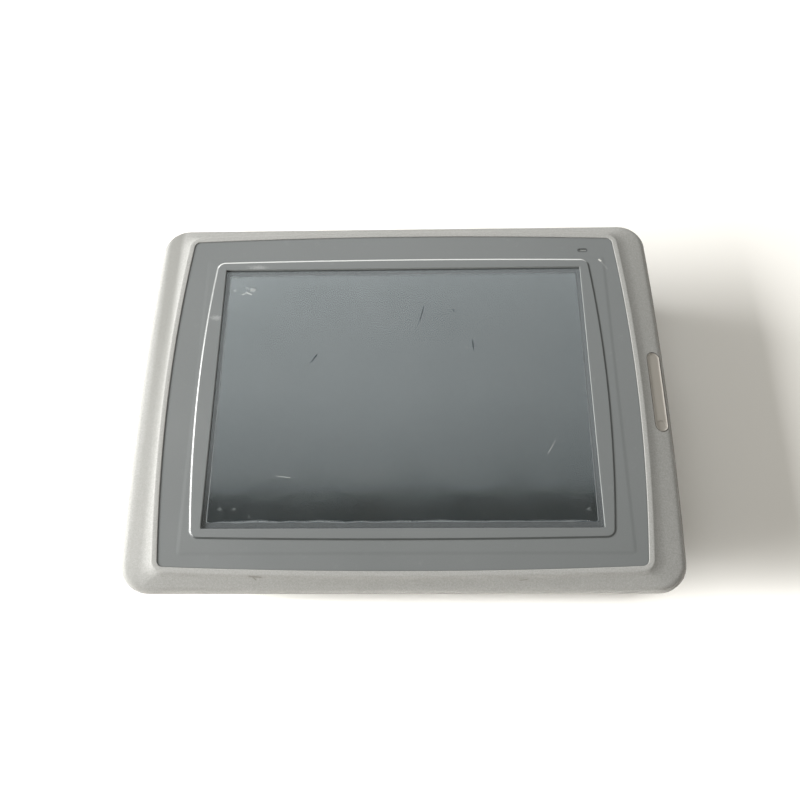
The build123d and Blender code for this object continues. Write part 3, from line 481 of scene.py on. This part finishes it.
def label_print():
    """Matte printed polyester: lamp window outline, glass edge showing through, a nick, smudges, wear."""
    s = Shade("label_print")
    grain = s.noise(2400.0, 2.0)
    cloud = s.noise(14.0, 4.0)
    base = s.mix(cloud, srgb(92, 95, 95), srgb(98, 101, 101))
    base = s.mix(s.span(grain, 0.35, 0.7, 0.0, 0.4), base, srgb(84, 87, 87))
    lamp = s.rect_distance(LAMP_X * MM, LAMP_Y * MM, 0.0031, 0.0014, 0.00138)
    base = s.touch_up(base, s.span(lamp, -0.00015, 0.00015, 1.0, 0.0), 0.9, srgb(52, 54, 54))
    glass = s.rect_distance(0.0019, -0.0034, 0.1206, 0.0912, 0.0015)
    step = s.span(glass, -0.0012, 0.0012, 1.0, 0.0, smooth=True)
    edge = s.span(s.math("ABSOLUTE", glass), 0.0, 0.0014, 1.0, 0.0)
    base = s.touch_up(base, edge, 0.10, srgb(78, 81, 81))
    nick = s.strongest((s.line_mask(*NICK), s.times(s.line_mask(*NICK_TRAIL), 0.10)))
    base = s.touch_up(base, nick, 0.75, srgb(206, 205, 199))
    smudge = s.strongest(s.spot_mask(*spot) for spot in LABEL_SMUDGES)
    base = s.touch_up(base, smudge, 0.45, srgb(150, 152, 150))
    wear = s.span(s.noise(160.0, 6.0, 0.75), 0.60, 0.78)
    base = s.touch_up(base, wear, 0.14, srgb(140, 142, 141))
    height = s.math("ADD", s.times(grain, 0.10), step)
    rough = s.span(cloud, 0.3, 0.7, 0.38, 0.48)
    return s.finish(base, rough, 0.0, s.bump(height, 0.00012, 1.0), Specular_IOR_Level=0.7)


def label_edge_painted_light():
    """Glossier skin where the field is pressed up; its colour is painted light: a pale painted highlight
    along its far and left sides, dark painted shade elsewhere.
    """
    s = Shade("label_edge_painted_light")
    cloud = s.noise(120.0, 3.0)
    x, y, _ = s.xyz()
    # Painted highlight along the far and left sides of the edge.
    far_side = s.times(s.span(y, 0.0815, 0.0835), s.span(x, 0.1130, 0.1085))
    left_side = s.times(s.span(x, -0.1085, -0.1105), s.span(y, -0.0850, -0.0800))
    stretched = s.math("MAXIMUM", far_side, s.times(left_side, 0.35))
    # Painted shade: the edge is dark wherever no highlight is painted.
    dark = s.mix(cloud, srgb(58, 61, 61), srgb(68, 71, 71))
    base = s.mix(stretched, dark, s.mix(cloud, srgb(168, 170, 168), srgb(186, 188, 186)))
    rough = s.span(cloud, 0.3, 0.7, 0.28, 0.36)
    return s.finish(base, rough, 0.0, s.bump(s.noise(300.0), 0.00001, 0.2), Specular_IOR_Level=0.85)


def label_cut():
    """Pale core of the film where the window was cut out, with a little dirt caught on it."""
    s = Shade("label_cut")
    cloud = s.noise(400.0, 3.0)
    base = s.mix(cloud, srgb(122, 125, 124), srgb(142, 144, 142))
    caught = s.span(s.noise(170.0, 5.0, 0.75), 0.60, 0.72)
    base = s.touch_up(base, caught, 0.6, srgb(70, 70, 66))
    return s.finish(base, s.span(cloud, 0.3, 0.7, 0.4, 0.6), 0.0, s.bump(cloud, 0.00002, 0.5))


def badge_metal():
    """Blank satin badge with a soft cast."""
    s = Shade("badge_metal")
    lines = s.noise(260.0, 4.0, 0.7, s.stretched(6.0, 0.4, 1.0))
    base = s.mix(s.noise(60.0, 3.0), srgb(144, 140, 133), srgb(156, 152, 145))
    rough = s.span(lines, 0.3, 0.7, 0.40, 0.55)
    return s.finish(base, rough, 0.15, s.bump(lines, 0.00001, 0.5, s.rounded(0.0002)))


def clear_layer(name, veil, tint, rough, ior, specks, marks, spots):
    """A clear sheet: see-through, with its own reflection, a faint veil, dust, scratches and smudges."""
    s = Shade(name)
    clear = s.shader("ShaderNodeBsdfTransparent", Color=(0.93, 0.94, 0.94, 1.0))
    gloss = s.shader("ShaderNodeBsdfGlossy", Color=(0.97, 1.0, 1.0, 1.0),
                     Roughness=s.span(s.noise(28.0, 4.0), 0.3, 0.7, rough * 0.75, rough * 1.25),
                     Normal=s.bump(s.noise(46.0, 2.0), 0.0003, 0.10))
    shine = s.blend(s.shader("ShaderNodeFresnel", IOR=ior), clear, gloss)
    dust = s.span(s.cells(240.0), 0.02, 0.06, specks, 0.0)
    dust = s.times(dust, s.span(s.noise(37.0, 2.0), 0.45, 0.62))
    colour = s.mix(s.span(dust, 0.0, 0.5), tint, srgb(206, 208, 204))
    amount = s.math("ADD", s.span(s.noise(18.0, 5.0, 0.7), 0.3, 0.7, veil * 0.7, veil * 1.3), dust)
    for dark, stroke in marks:
        line = s.line_mask(*stroke)
        colour = s.mix(line, colour, srgb(30, 32, 33) if dark else srgb(196, 198, 194))
        amount = s.math("MAXIMUM", amount, s.times(line, 0.75))
    for strength, spot in spots:
        blot = s.times(s.spot_mask(*spot), strength)
        colour = s.mix(s.span(blot, 0.0, 0.2), colour, srgb(200, 204, 202))
        amount = s.math("MAXIMUM", amount, blot)
    haze = s.shader("ShaderNodeBsdfDiffuse", Color=colour)
    return s.surface(s.blend(s.math("MINIMUM", amount, 1.0), shine, haze))


def film_edge():
    """The lifted, dusty rim of the protective film."""
    s = Shade("film_edge")
    cloud = s.noise(420.0, 4.0, 0.7)
    base = s.mix(cloud, srgb(80, 86, 89), srgb(122, 127, 129))
    return s.finish(base, s.span(cloud, 0.3, 0.7, 0.3, 0.5), 0.0, s.bump(cloud, 0.00005, 0.6))


def screen_cell():
    """Unlit display: near black with slow blue-green tone changes under an anti-glare skin."""
    s = Shade("screen_cell")
    base = s.mix(s.noise(24.0, 3.0), srgb(14, 34, 46), srgb(22, 44, 58))
    picture = s.rect_distance(0.0, 0.0, PICTURE_HALF_W * MM, PICTURE_HALF_H * MM)
    base = s.mix(s.span(picture, -0.0001, 0.0001), base, srgb(14, 15, 17))
    rough = s.span(s.noise(900.0), 0.3, 0.7, 0.28, 0.36)
    return s.finish(base, rough, 0.0, s.bump(s.noise(420.0), 0.00001, 0.2), Specular_IOR_Level=0.12)


# ---------------------------------------------------------------- front pieces
def label_level(grow):
    """Outline of the label's recess, grown by this much."""
    return barrel(133.9 + grow, 104.0 + grow, 5.3, 2.6, max(3.0 + grow, 0.5))


def rim_level(inset):
    """Outline of the bezel's outer wall, shrunk by this much."""
    return barrel(HALF_W - inset, HALF_H - inset, 2.6, 0.0, 15.0 - inset)


def shoulder_level(t):
    """Outline and height from the lip's foot (0) to the rounding (1): a concave sweep, then a band."""
    foot, shoulder = (137.0, 107.1, 5.3, 2.6, 6.1), (148.36, 110.36, 2.6, 0.0, 11.36)
    sizes = [a + (b - a) * t for a, b in zip(foot, shoulder)]
    sweep_end, sweep_rise = 0.44, 0.89
    sweep = max(0.0, 1.0 - t / sweep_end)
    return barrel(*sizes), 56.75 - 2.38 * t + 0.24 * t * (1.0 - t) + sweep_rise * sweep ** 2


def rim_point(angle):
    """A point on the rounding that runs from the band (78 degrees) to the upright wall (0)."""
    a = math.radians(angle)
    return rim_level(RIM_RADIUS * (1 - math.cos(a))), RIM_CENTRE_Z + RIM_RADIUS * math.sin(a)


def badge_place():
    """The middle of the badge's seat on the right band, tilted with the band."""
    slope = (BAND_INNER_Z - BAND_OUTER_Z) / (BAND_OUTER_X - BAND_INNER_X)
    seat_z = BAND_OUTER_Z + (BAND_OUTER_X - BADGE_X) * slope
    return Matrix.Translation((BADGE_X, BADGE_Y, seat_z)) @ Matrix.Rotation(math.atan(slope), 4, "Y")


def build_bezel():
    """The silver frame as one loop of rings: up the inside, over the lip and the rim, back underneath."""
    pocket, ledge = barrel(126.0, 94.0, r=1.0), barrel(108.9, 82.2, r=1.0)
    glass_seat = barrel(120.6, 91.6, r=1.0, x=2.1, y=-3.5)
    levels = [(pocket, BEZEL_BACK_Z), (pocket, 53.2), (ledge, 53.2), (ledge, 54.6)]
    levels += [(glass_seat, 54.6), (glass_seat, RECESS_Z)]
    lip = ((0.0, RECESS_Z), (0.0, LIP_Z - 0.3), (0.05, LIP_Z - 0.13), (0.18, LIP_Z - 0.03),
           (0.4, LIP_Z), (2.1, LIP_Z), (2.5, LIP_Z - 0.04), (2.85, LIP_Z - 0.17))
    levels += [(label_level(grow), z) for grow, z in lip]
    sweep_steps, band_steps = (0.0, 0.05, 0.1, 0.16, 0.22, 0.29, 0.36, 0.44), (0.54, 0.66, 0.78, 0.9)
    levels += [shoulder_level(t) for t in sweep_steps + band_steps]
    levels += [rim_point(angle) for angle in (78, 72, 65, 58, 50, 42, 34, 26, 18, 9, 0)]
    foot = ((0.0, 0.5), (0.12, 0.15), (0.5, 0.0))
    levels += [(rim_level(inset), BEZEL_BACK_Z + rise) for inset, rise in foot]
    gasket_groove = barrel(148.5, 111.5, r=12.1), barrel(144.5, 107.5, r=8.1), 49.5
    chassis_groove = barrel(140.4, 102.4, r=4.0), barrel(128.0, 95.8, r=1.0), 52.4
    for outer, inner, top in (gasket_groove, chassis_groove):
        levels += [(outer, BEZEL_BACK_Z), (outer, top), (inner, top), (inner, BEZEL_BACK_Z)]
    bezel = rings("bezel_moulding", levels, [silver_paint()])
    pocket_tool = prism("badge_pocket", pill_points(49.8, 8.4, 20), -0.9, 4.0, badge_place())
    lamp_tool = prism("lamp_hole", pill_points(6.2, 2.8), 52.0, 60.0, LAMP_PLACE)
    cut(bezel, [pocket_tool, lamp_tool])
    crisp(bezel, 30.0)
    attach(bezel, "panel")
    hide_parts("front_bezel")


def build_badge():
    """Blank badge: dished pill with a rolled rim and a round dimple at its lower end."""
    place = badge_place()
    # Width, length, and height over the band.
    profile = ((7.6, 49.0, -0.88), (7.6, 49.0, -0.35), (7.45, 48.85, -0.14), (7.15, 48.55, -0.06),
               (6.95, 48.35, -0.12), (6.25, 47.65, -0.50), (6.1, 47.5, -0.54), (5.2, 46.6, -0.56),
               (2.6, 44.0, -0.53))
    loops = [[(px, py, z) for px, py in pill_points(length, width, 20)] for width, length, z in profile]
    count, top = len(loops[0]), len(loops) - 1
    verts = [place @ Vector(p) for loop in loops for p in loop]
    faces = [tuple(reversed(range(count)))]
    for i in range(top):
        faces += bridge(i * count, (i + 1) * count, count)
    faces.append(tuple(range(top * count, (top + 1) * count)))
    badge = make_object("badge_blank", verts, faces, [badge_metal()])
    dimple_y, dimple_r, sides = -20.3, 2.5, 40
    turns = [math.tau * k / sides for k in range(sides)]
    dimple = [(dimple_r * math.cos(turn), dimple_y + dimple_r * math.sin(turn)) for turn in turns]
    cut(badge, [prism("dimple_tool", dimple, -0.80, 2.0, place)])
    crisp(badge, 50.0)
    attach(badge, "panel")
    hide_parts("badge_plate")


def build_label():
    """Printed label with its softly stepped field, thin at the window."""
    def field(grow):
        return barrel(117.3 + grow, 87.3 + grow, 4.4, 1.1, 4.3 + grow)

    window = barrel(107.8, 81.1, r=0.5)
    levels = [(label_level(-0.1), RECESS_Z), (label_level(-0.1), LABEL_Z - 0.05)]
    levels += [(label_level(-0.16), LABEL_Z), (label_level(-0.4), LABEL_Z)]
    levels += [(field(1.2), LABEL_Z), (field(0.42), LABEL_Z), (field(0.32), LABEL_Z + 0.02)]
    first_edge = len(levels) - 1
    levels += [(field(grow), FIELD_Z - drop) for grow, drop in ((-0.34, 0.12), (-0.46, 0.07), (-0.68, 0.01))]
    last_edge = len(levels) - 1
    levels += [(field(-0.8), FIELD_Z), (field(-1.2), FIELD_Z), (barrel(108.5, 81.8, r=0.8), FIELD_Z)]
    levels += [(barrel(108.1, 81.4, r=0.7), FIELD_Z), (barrel(107.88, 81.18, r=0.6), FIELD_Z - 0.03)]
    levels += [(window, FIELD_Z - 0.13), (window, RECESS_Z)]
    slots = [1 if first_edge <= i < last_edge else 0 for i in range(len(levels))]
    slots[-2] = 2  # the window's cut wall
    label = rings("printed_label", levels, [label_print(), label_edge_painted_light(), label_cut()], slots=slots)
    cut(label, [prism("lamp_window", pill_points(4.7, 1.5), 55.0, 60.0, LAMP_PLACE)])
    crisp(label, 40.0)
    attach(label, "panel")
    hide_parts("front_label")


def film_point(px, py, inset, rise):
    """A corner of the film: wandering, set in from the edge, and lifted most at the bottom."""
    on_long_side = abs(py) > abs(px) * 0.76
    at_bottom = on_long_side and py < 0
    swing = 0.75 if at_bottom else 0.35 if on_long_side else 0.16
    coarse = noise.noise(Vector((px * 0.075, py * 0.09, 3.1)))
    wander = coarse + 0.5 * noise.noise(Vector((px * 0.3, py * 0.3, 7.7)))
    width = inset * (1.0 + 0.6 * noise.noise(Vector((px * 0.16, py * 0.16, 1.7))))
    out = Vector((0.0, math.copysign(1.0, py)) if on_long_side else (math.copysign(1.0, px), 0.0))
    point = Vector((px, py)) + out * (wander * swing - width)
    return (point.x, point.y, FILM_EDGE_Z + rise * (1.0 if at_bottom else 0.3))


def build_screen_film():
    """Protective film: cut by hand, so its edge wanders, with a lifted pale rim."""
    edge = barrel(105.3, 77.6, r=1.2)
    count = len(edge)
    # Distance in from the edge, and height over it.
    profile = ((0.0, 0.0), (0.06, 0.14), (0.26, 0.20), (0.52, 0.16), (0.85, 0.05), (1.2, 0.05))
    rim_rows, inner = 3, len(profile) - 1
    rows = [[film_point(px, py, inset, rise) for px, py in edge] for inset, rise in profile]
    verts = [p for row in rows for p in row] + [(x, y, FILM_BACK_Z) for x, y, _ in rows[0]]
    faces, slots = [], []
    for i in range(inner):
        faces += bridge(i * count, (i + 1) * count, count)
        slots += [1 if i < rim_rows else 0] * count
    faces.append(tuple(range(inner * count, (inner + 1) * count)))
    slots.append(0)
    under = len(rows) * count
    faces += bridge(under, 0, count)
    slots += [1] * count
    faces.append(tuple(reversed(range(under, under + count))))
    slots.append(0)
    film_face = clear_layer("film_face", veil=0.030, tint=srgb(100, 126, 140), rough=0.10, ior=1.62,
                            specks=0.35, marks=SCRATCHES, spots=FILM_SMUDGES)
    film = make_object("protective_film", verts, faces, [film_face, film_edge()], slots)
    crisp(film, 50.0)
    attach(film, "panel")
    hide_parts("screen_protector")


build_bezel()
build_badge()
build_label()
build_screen_film()


# ---------------------------------------------------------------- materials of the other pieces
def frosted_pipe():
    """Milky plastic of the lamp window, unlit."""
    s = Shade("frosted_pipe")
    cloud = s.noise(900.0, 3.0)
    base = s.mix(cloud, srgb(118, 121, 119), srgb(132, 135, 133))
    skin = s.bump(cloud, 0.00002, 0.5, s.rounded(0.0003))
    return s.finish(base, s.span(cloud, 0.3, 0.7, 0.4, 0.55), 0.0, skin, Transmission_Weight=0.1)


def touch_skin():
    """Anti-glare skin of the touch panel, with the dull electrode margin round the picture."""
    s = Shade("touch_skin")
    margin = s.span(s.rect_distance(0.0, 0.0, 0.1052, 0.0775), -0.0002, 0.0002, smooth=True)
    clear = s.shader("ShaderNodeBsdfTransparent", Color=(0.9, 0.91, 0.91, 1.0))
    gloss = s.shader("ShaderNodeBsdfGlossy", Color=(0.97, 1.0, 1.0, 1.0),
                     Roughness=s.span(margin, 0.0, 1.0, 0.30, 0.15),
                     Normal=s.bump(s.noise(420.0, 2.0), 0.00001, 0.2))
    shine = s.blend(s.span(margin, 0.0, 1.0, 0.012, 0.12), clear, gloss)
    dust = s.noise(240.0, 5.0, 0.7)
    picture_tint = s.mix(dust, srgb(66, 83, 95), srgb(88, 107, 120))
    margin_tint = s.mix(dust, srgb(82, 86, 89), srgb(102, 106, 108))
    haze = s.shader("ShaderNodeBsdfDiffuse", Color=s.mix(margin, picture_tint, margin_tint))
    veil = s.math("ADD", s.span(dust, 0.3, 0.7, 0.05, 0.09), s.times(margin, 0.45))
    return s.surface(s.blend(veil, shine, haze))


def plain_glass():
    """Bonded glass below the skin: only a faint green cast and a trace of its own reflection."""
    s = Shade("plain_glass")
    cloud = s.noise(30.0, 2.0)
    cast = s.mix(cloud, (0.94, 0.965, 0.95, 1.0), (0.96, 0.975, 0.965, 1.0))
    gloss = s.shader("ShaderNodeBsdfGlossy", Roughness=s.span(cloud, 0.3, 0.7, 0.04, 0.09),
                     Normal=s.bump(s.noise(220.0), 0.00001, 0.2))
    return s.surface(s.blend(0.01, s.shader("ShaderNodeBsdfTransparent", Color=cast), gloss))


def flat_cable(name, colour, pitch, lines):
    """Flexible cable with its conductors showing as fine stripes across X."""
    s = Shade(name)
    x, _, _ = s.xyz()
    stripe = s.span(s.math("SINE", s.times(x, math.tau / pitch)), -0.2, 0.3)
    base = s.touch_up(colour, stripe, 0.6, lines)
    cloud = s.noise(80.0, 3.0)
    return s.finish(base, s.span(cloud, 0.3, 0.7, 0.28, 0.42), 0.0, s.bump(stripe, 0.00003, 0.5))


def blank_label():
    """Blank silver-white rating label with a thin printed border and handling marks."""
    s = Shade("blank_label")
    low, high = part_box("rating_label")
    middle, half, margin = (low + high) / 2, (high - low) / 2, 0.0016
    inset = s.rect_distance(middle.x, middle.y, half.x - margin, half.y - margin, 0.001)
    border = s.span(s.math("ABSOLUTE", inset), 0.0001, 0.0003, 1.0, 0.0)
    cloud = s.noise(50.0, 5.0, 0.65)
    base = s.mix(cloud, srgb(208, 209, 207), srgb(222, 222, 220))
    base = s.touch_up(base, border, 0.8, srgb(60, 62, 64))
    return s.finish(base, s.span(cloud, 0.3, 0.7, 0.32, 0.48), 0.1, s.bump(s.noise(500.0), 0.00001, 0.5))


def paper_tape(name, colour):
    """Thin matt layer such as diffuser film: faint fibres, slow tone changes."""
    s = Shade(name)
    fibre = s.noise(700.0, 3.0, 0.6, s.stretched(1.0, 3.0, 1.0))
    base = s.mix(s.noise(30.0), times(colour, 0.92), times(colour, 1.02))
    return s.finish(base, s.span(fibre, 0.3, 0.7, 0.5, 0.62), 0.0, s.bump(fibre, 0.00001, 0.5))


def contact_block(name, body, metal):
    """Dark insulator whose small raised contacts are gold plated."""
    s = Shade(name)
    grain = s.noise(1500.0)
    base = s.mix(s.noise(120.0), times(body, 0.9), times(body, 1.15))
    edge = s.span(s.cells(1100.0), 0.08, 0.12, 0.35, 0.0)
    base = s.mix(edge, base, metal)
    skin = s.bump(grain, 0.00002, 0.6, s.rounded(0.0001))
    return s.finish(base, s.span(grain, 0.3, 0.7, 0.38, 0.5), 0.0, skin)


ZINC, STEEL, TIN = (0.72, 0.72, 0.70, 1.0), (0.64, 0.64, 0.62, 1.0), (0.78, 0.78, 0.75, 1.0)
SLOT_LOOKS = {
    "light_pipe": frosted_pipe(),
    "touch_glass": plain_glass(),
    "clear_film": touch_skin(),
    "flex_amber": flat_cable("amber_flex", srgb(176, 110, 38), 0.0016, srgb(222, 158, 74)),
    "gasket_rubber": moulded("gasket_foam", srgb(48, 49, 52), 0.78, 900.0, 0.00012, 0.0005, wear=0.06),
    "bare_steel": sheet_metal("zinc_sheet", STEEL, 0.34, (1.0, 22.0, 1.0)),
    "screen_glass": screen_cell(),
    "white_film": paper_tape("diffuser_stack", srgb(226, 226, 221)),
    "lamp_glass": moulded("phosphor_glass", srgb(232, 232, 226), 0.22, 300.0, 0.00001, 0.0002, wear=0.0),
    "board_green": circuit_board("solder_mask", srgb(26, 92, 56)),
    "ribbon_white": flat_cable("white_ribbon", srgb(214, 214, 208), 0.00125, srgb(168, 170, 170)),
    "lead_pink": moulded("silicone_lead", srgb(220, 148, 148), 0.5, 600.0, 0.00002, 0.0002, wear=0.05),
    "chassis_grey": moulded("cover_plastic", srgb(66, 68, 71), 0.52, 1700.0, 0.00005, 0.0005),
    "screw_zinc": sheet_metal("zinc_screw", ZINC, 0.30, (1.0, 1.0, 1.0), 0.0002),
    "port_shield": sheet_metal("tin_shell", TIN, 0.24, (18.0, 1.0, 1.0), 0.0001),
    "black_plastic": moulded("black_insulator", srgb(30, 31, 33), 0.42, 1500.0, 0.00002, 0.0002),
    "heat_sink_black": moulded("black_anodise", srgb(34, 35, 37), 0.36, 2600.0, 0.00001, 0.0002, 0.55),
    "battery_steel": sheet_metal("cell_can", (0.76, 0.76, 0.73, 1.0), 0.2, (1.0, 1.0, 1.0)),
    "terminal_green": moulded("terminal_green", srgb(34, 124, 74), 0.4, 1100.0, 0.00002, 0.0003),
    "label_white": blank_label(),
    "switch_blue": moulded("switch_blue", srgb(32, 74, 158), 0.34, 1400.0, 0.00001, 0.0002),
    "lever_white": moulded("lever_white", srgb(232, 232, 228), 0.3, 1400.0, 0.00001, 0.0001, wear=0.1),
    "button_red": moulded("button_red", srgb(176, 38, 32), 0.3, 1400.0, 0.00001, 0.0002, wear=0.1),
}
NODE_LOOKS = {
    "lcd_front_frame": sheet_metal("screen_frame_steel", (0.10, 0.10, 0.105, 1.0), 0.42, (1.0, 20.0, 1.0)),
    "serial_port_inserts": contact_block("socket_insert", srgb(28, 29, 31), (0.72, 0.55, 0.2, 1.0)),
    "lamp_reflectors": sheet_metal("reflector_silver", (0.86, 0.86, 0.84, 1.0), 0.14, (12.0, 1.0, 1.0)),
}

REPLACED = {"front_bezel", "badge_plate", "front_label", "screen_protector"}
slot_of = {part["node"]: part["material_slot"] for part in frame["record"]["subparts"]}
for node_name, node in frame["nodes"].items():
    if node_name in REPLACED:
        continue
    look = NODE_LOOKS.get(node_name) or SLOT_LOOKS[slot_of[node_name]]
    node.data.materials.clear()
    node.data.materials.append(look)


# ---------------------------------------------------------------- floor, light, camera
def pale_floor():
    """Smooth warm-white table top with a hint of unevenness."""
    s = Shade("pale_floor")
    cloud = s.noise(3.0, 3.0)
    base = s.mix(cloud, (0.925, 0.91, 0.875, 1.0), (0.94, 0.925, 0.89, 1.0))
    rough = s.span(cloud, 0.3, 0.7, 0.75, 0.85)
    return s.finish(base, rough, 0.0, s.bump(s.noise(60.0), 0.00005, 0.3), Specular_IOR_Level=0.15)


def build_floor():
    """A wide flat table top just under the object."""
    reach, drop = 3000.0, -0.05
    floor = sheet("studio_floor", (-reach, reach), (-reach, reach), lambda u, v: drop, 24, pale_floor())
    return floor


def area_light(name, place, aim, size_x, size_y, power, colour=(1.0, 1.0, 1.0)):
    """A rectangular light, in metres and watts, that faces the point aim."""
    data = bpy.data.lights.new(name, "AREA")
    data.shape = "RECTANGLE"
    data.size, data.size_y = size_x, size_y
    data.energy = power
    data.color = colour
    light = bpy.data.objects.new(name, data)
    light.location = place
    light.rotation_euler = (Vector(aim) - Vector(place)).to_track_quat("-Z", "Y").to_euler()
    bpy.context.scene.collection.objects.link(light)
    return light


def diffuser_cloth():
    """Softbox cloth, dimmer towards its near edge and its right side."""
    s = Shade("diffuser_cloth")
    x, y, _ = s.xyz()
    down = s.span(y, 0.32, 0.54, 0.66, 1.0)
    across = s.span(x, -0.1, 0.4, 1.0, 0.74)
    strength = s.times(down, across, 2.1)
    return s.surface(s.shader("ShaderNodeEmission", Color=(0.96, 0.995, 1.0, 1.0), Strength=strength))


def build_diffuser():
    """A sheet over the far side of the panel, sagging a little like stretched cloth, lit from behind."""
    height, sag = 1260.0, 6.0

    def hang(u, v):
        return height - sag * math.sin(math.pi * u) * math.sin(math.pi * v)

    cloth = sheet("overhead_diffuser", (-620.0, 620.0), (318.0, 1000.0), hang, 16, diffuser_cloth(),
                  facing_up=False)
    cloth.visible_camera = False


def only_on(light, objects):
    """The light falls on these objects and nothing else."""
    receivers = bpy.data.collections.new(light.name + "_receivers")
    for obj in objects:
        receivers.objects.link(obj)
    light.light_linking.receiver_collection = receivers


def build_light(floor):
    """A large window light at the left, small fills and glints, and the warm room."""
    area_light("window_light", (-1.82, 0.0, 0.86), (0.0, 0.0, 0.03), 2.0, 0.75, 121.0, (1.0, 0.998, 0.99))
    area_light("rim_strip", (0.0, 2.0, 1.1), (0.0, 0.0, 0.05), 1.6, 0.14, 9.0)
    wash = area_light("floor_wash", (0.0, -0.475, 0.18), (0.0, -0.475, 0.0), 1.3, 0.7, 6.5)
    wash.data.spread = math.radians(32.0)
    wash.visible_camera = False
    wash.visible_glossy = False
    only_on(wash, [floor])
    # These three fall only on the front's own pieces, to match the photo's tones there.
    front = [bpy.data.objects[name] for name in ("bezel_moulding", "printed_label", "badge_blank")]
    fill = area_light("right_fill", (1.4, 0.3, 0.9), (0.0, 0.0, 0.05), 1.0, 0.5, 8.0)
    fill.visible_glossy = False
    only_on(fill, front)
    glints = [area_light("back_glint", (-0.3, 2.0, 0.55), (-0.1, 0.08, 0.06), 3.1, 0.45, 10.0),
              area_light("side_glint", (-1.75, 1.5, 0.72), (-0.1, 0.08, 0.06), 1.1, 0.6, 6.0)]
    for glint in glints:
        glint.visible_diffuse = False
        only_on(glint, front)
    build_diffuser()
    world = bpy.data.worlds.new("studio_world")
    world.use_nodes = True
    background = world.node_tree.nodes["Background"]
    background.inputs["Color"].default_value = (1.0, 0.93, 0.80, 1.0)
    background.inputs["Strength"].default_value = 0.27
    bpy.context.scene.world = world


CAMERA_PLACE = (0.01043, -0.19804, 0.49226)
CAMERA_BACK = (0.0241, -0.4030, 0.9149)
CAMERA_TURN, CAMERA_ROLL = math.radians(3.42), math.radians(-3.52)


def build_camera():
    """The photo's view: from above and a little below the panel's bottom edge, slightly rolled."""
    back = Vector(CAMERA_BACK).normalized()
    level = Vector((math.cos(CAMERA_TURN), math.sin(CAMERA_TURN), 0.0))
    rise = back.cross(level)
    right = level * math.cos(CAMERA_ROLL) + rise * math.sin(CAMERA_ROLL)
    up = rise * math.cos(CAMERA_ROLL) - level * math.sin(CAMERA_ROLL)
    data = bpy.data.cameras.new("main_camera")
    data.lens = 37.65
    data.sensor_width = 36.0
    data.clip_start = 0.02
    data.dof.use_dof = False
    camera = bpy.data.objects.new("main_camera", data)
    camera.matrix_world = Matrix.Translation(CAMERA_PLACE) @ Matrix((right, up, back)).transposed().to_4x4()
    bpy.context.scene.collection.objects.link(camera)
    bpy.context.scene.camera = camera


build_light(build_floor())
build_camera()
bpy.context.scene.view_settings.view_transform = "Standard"
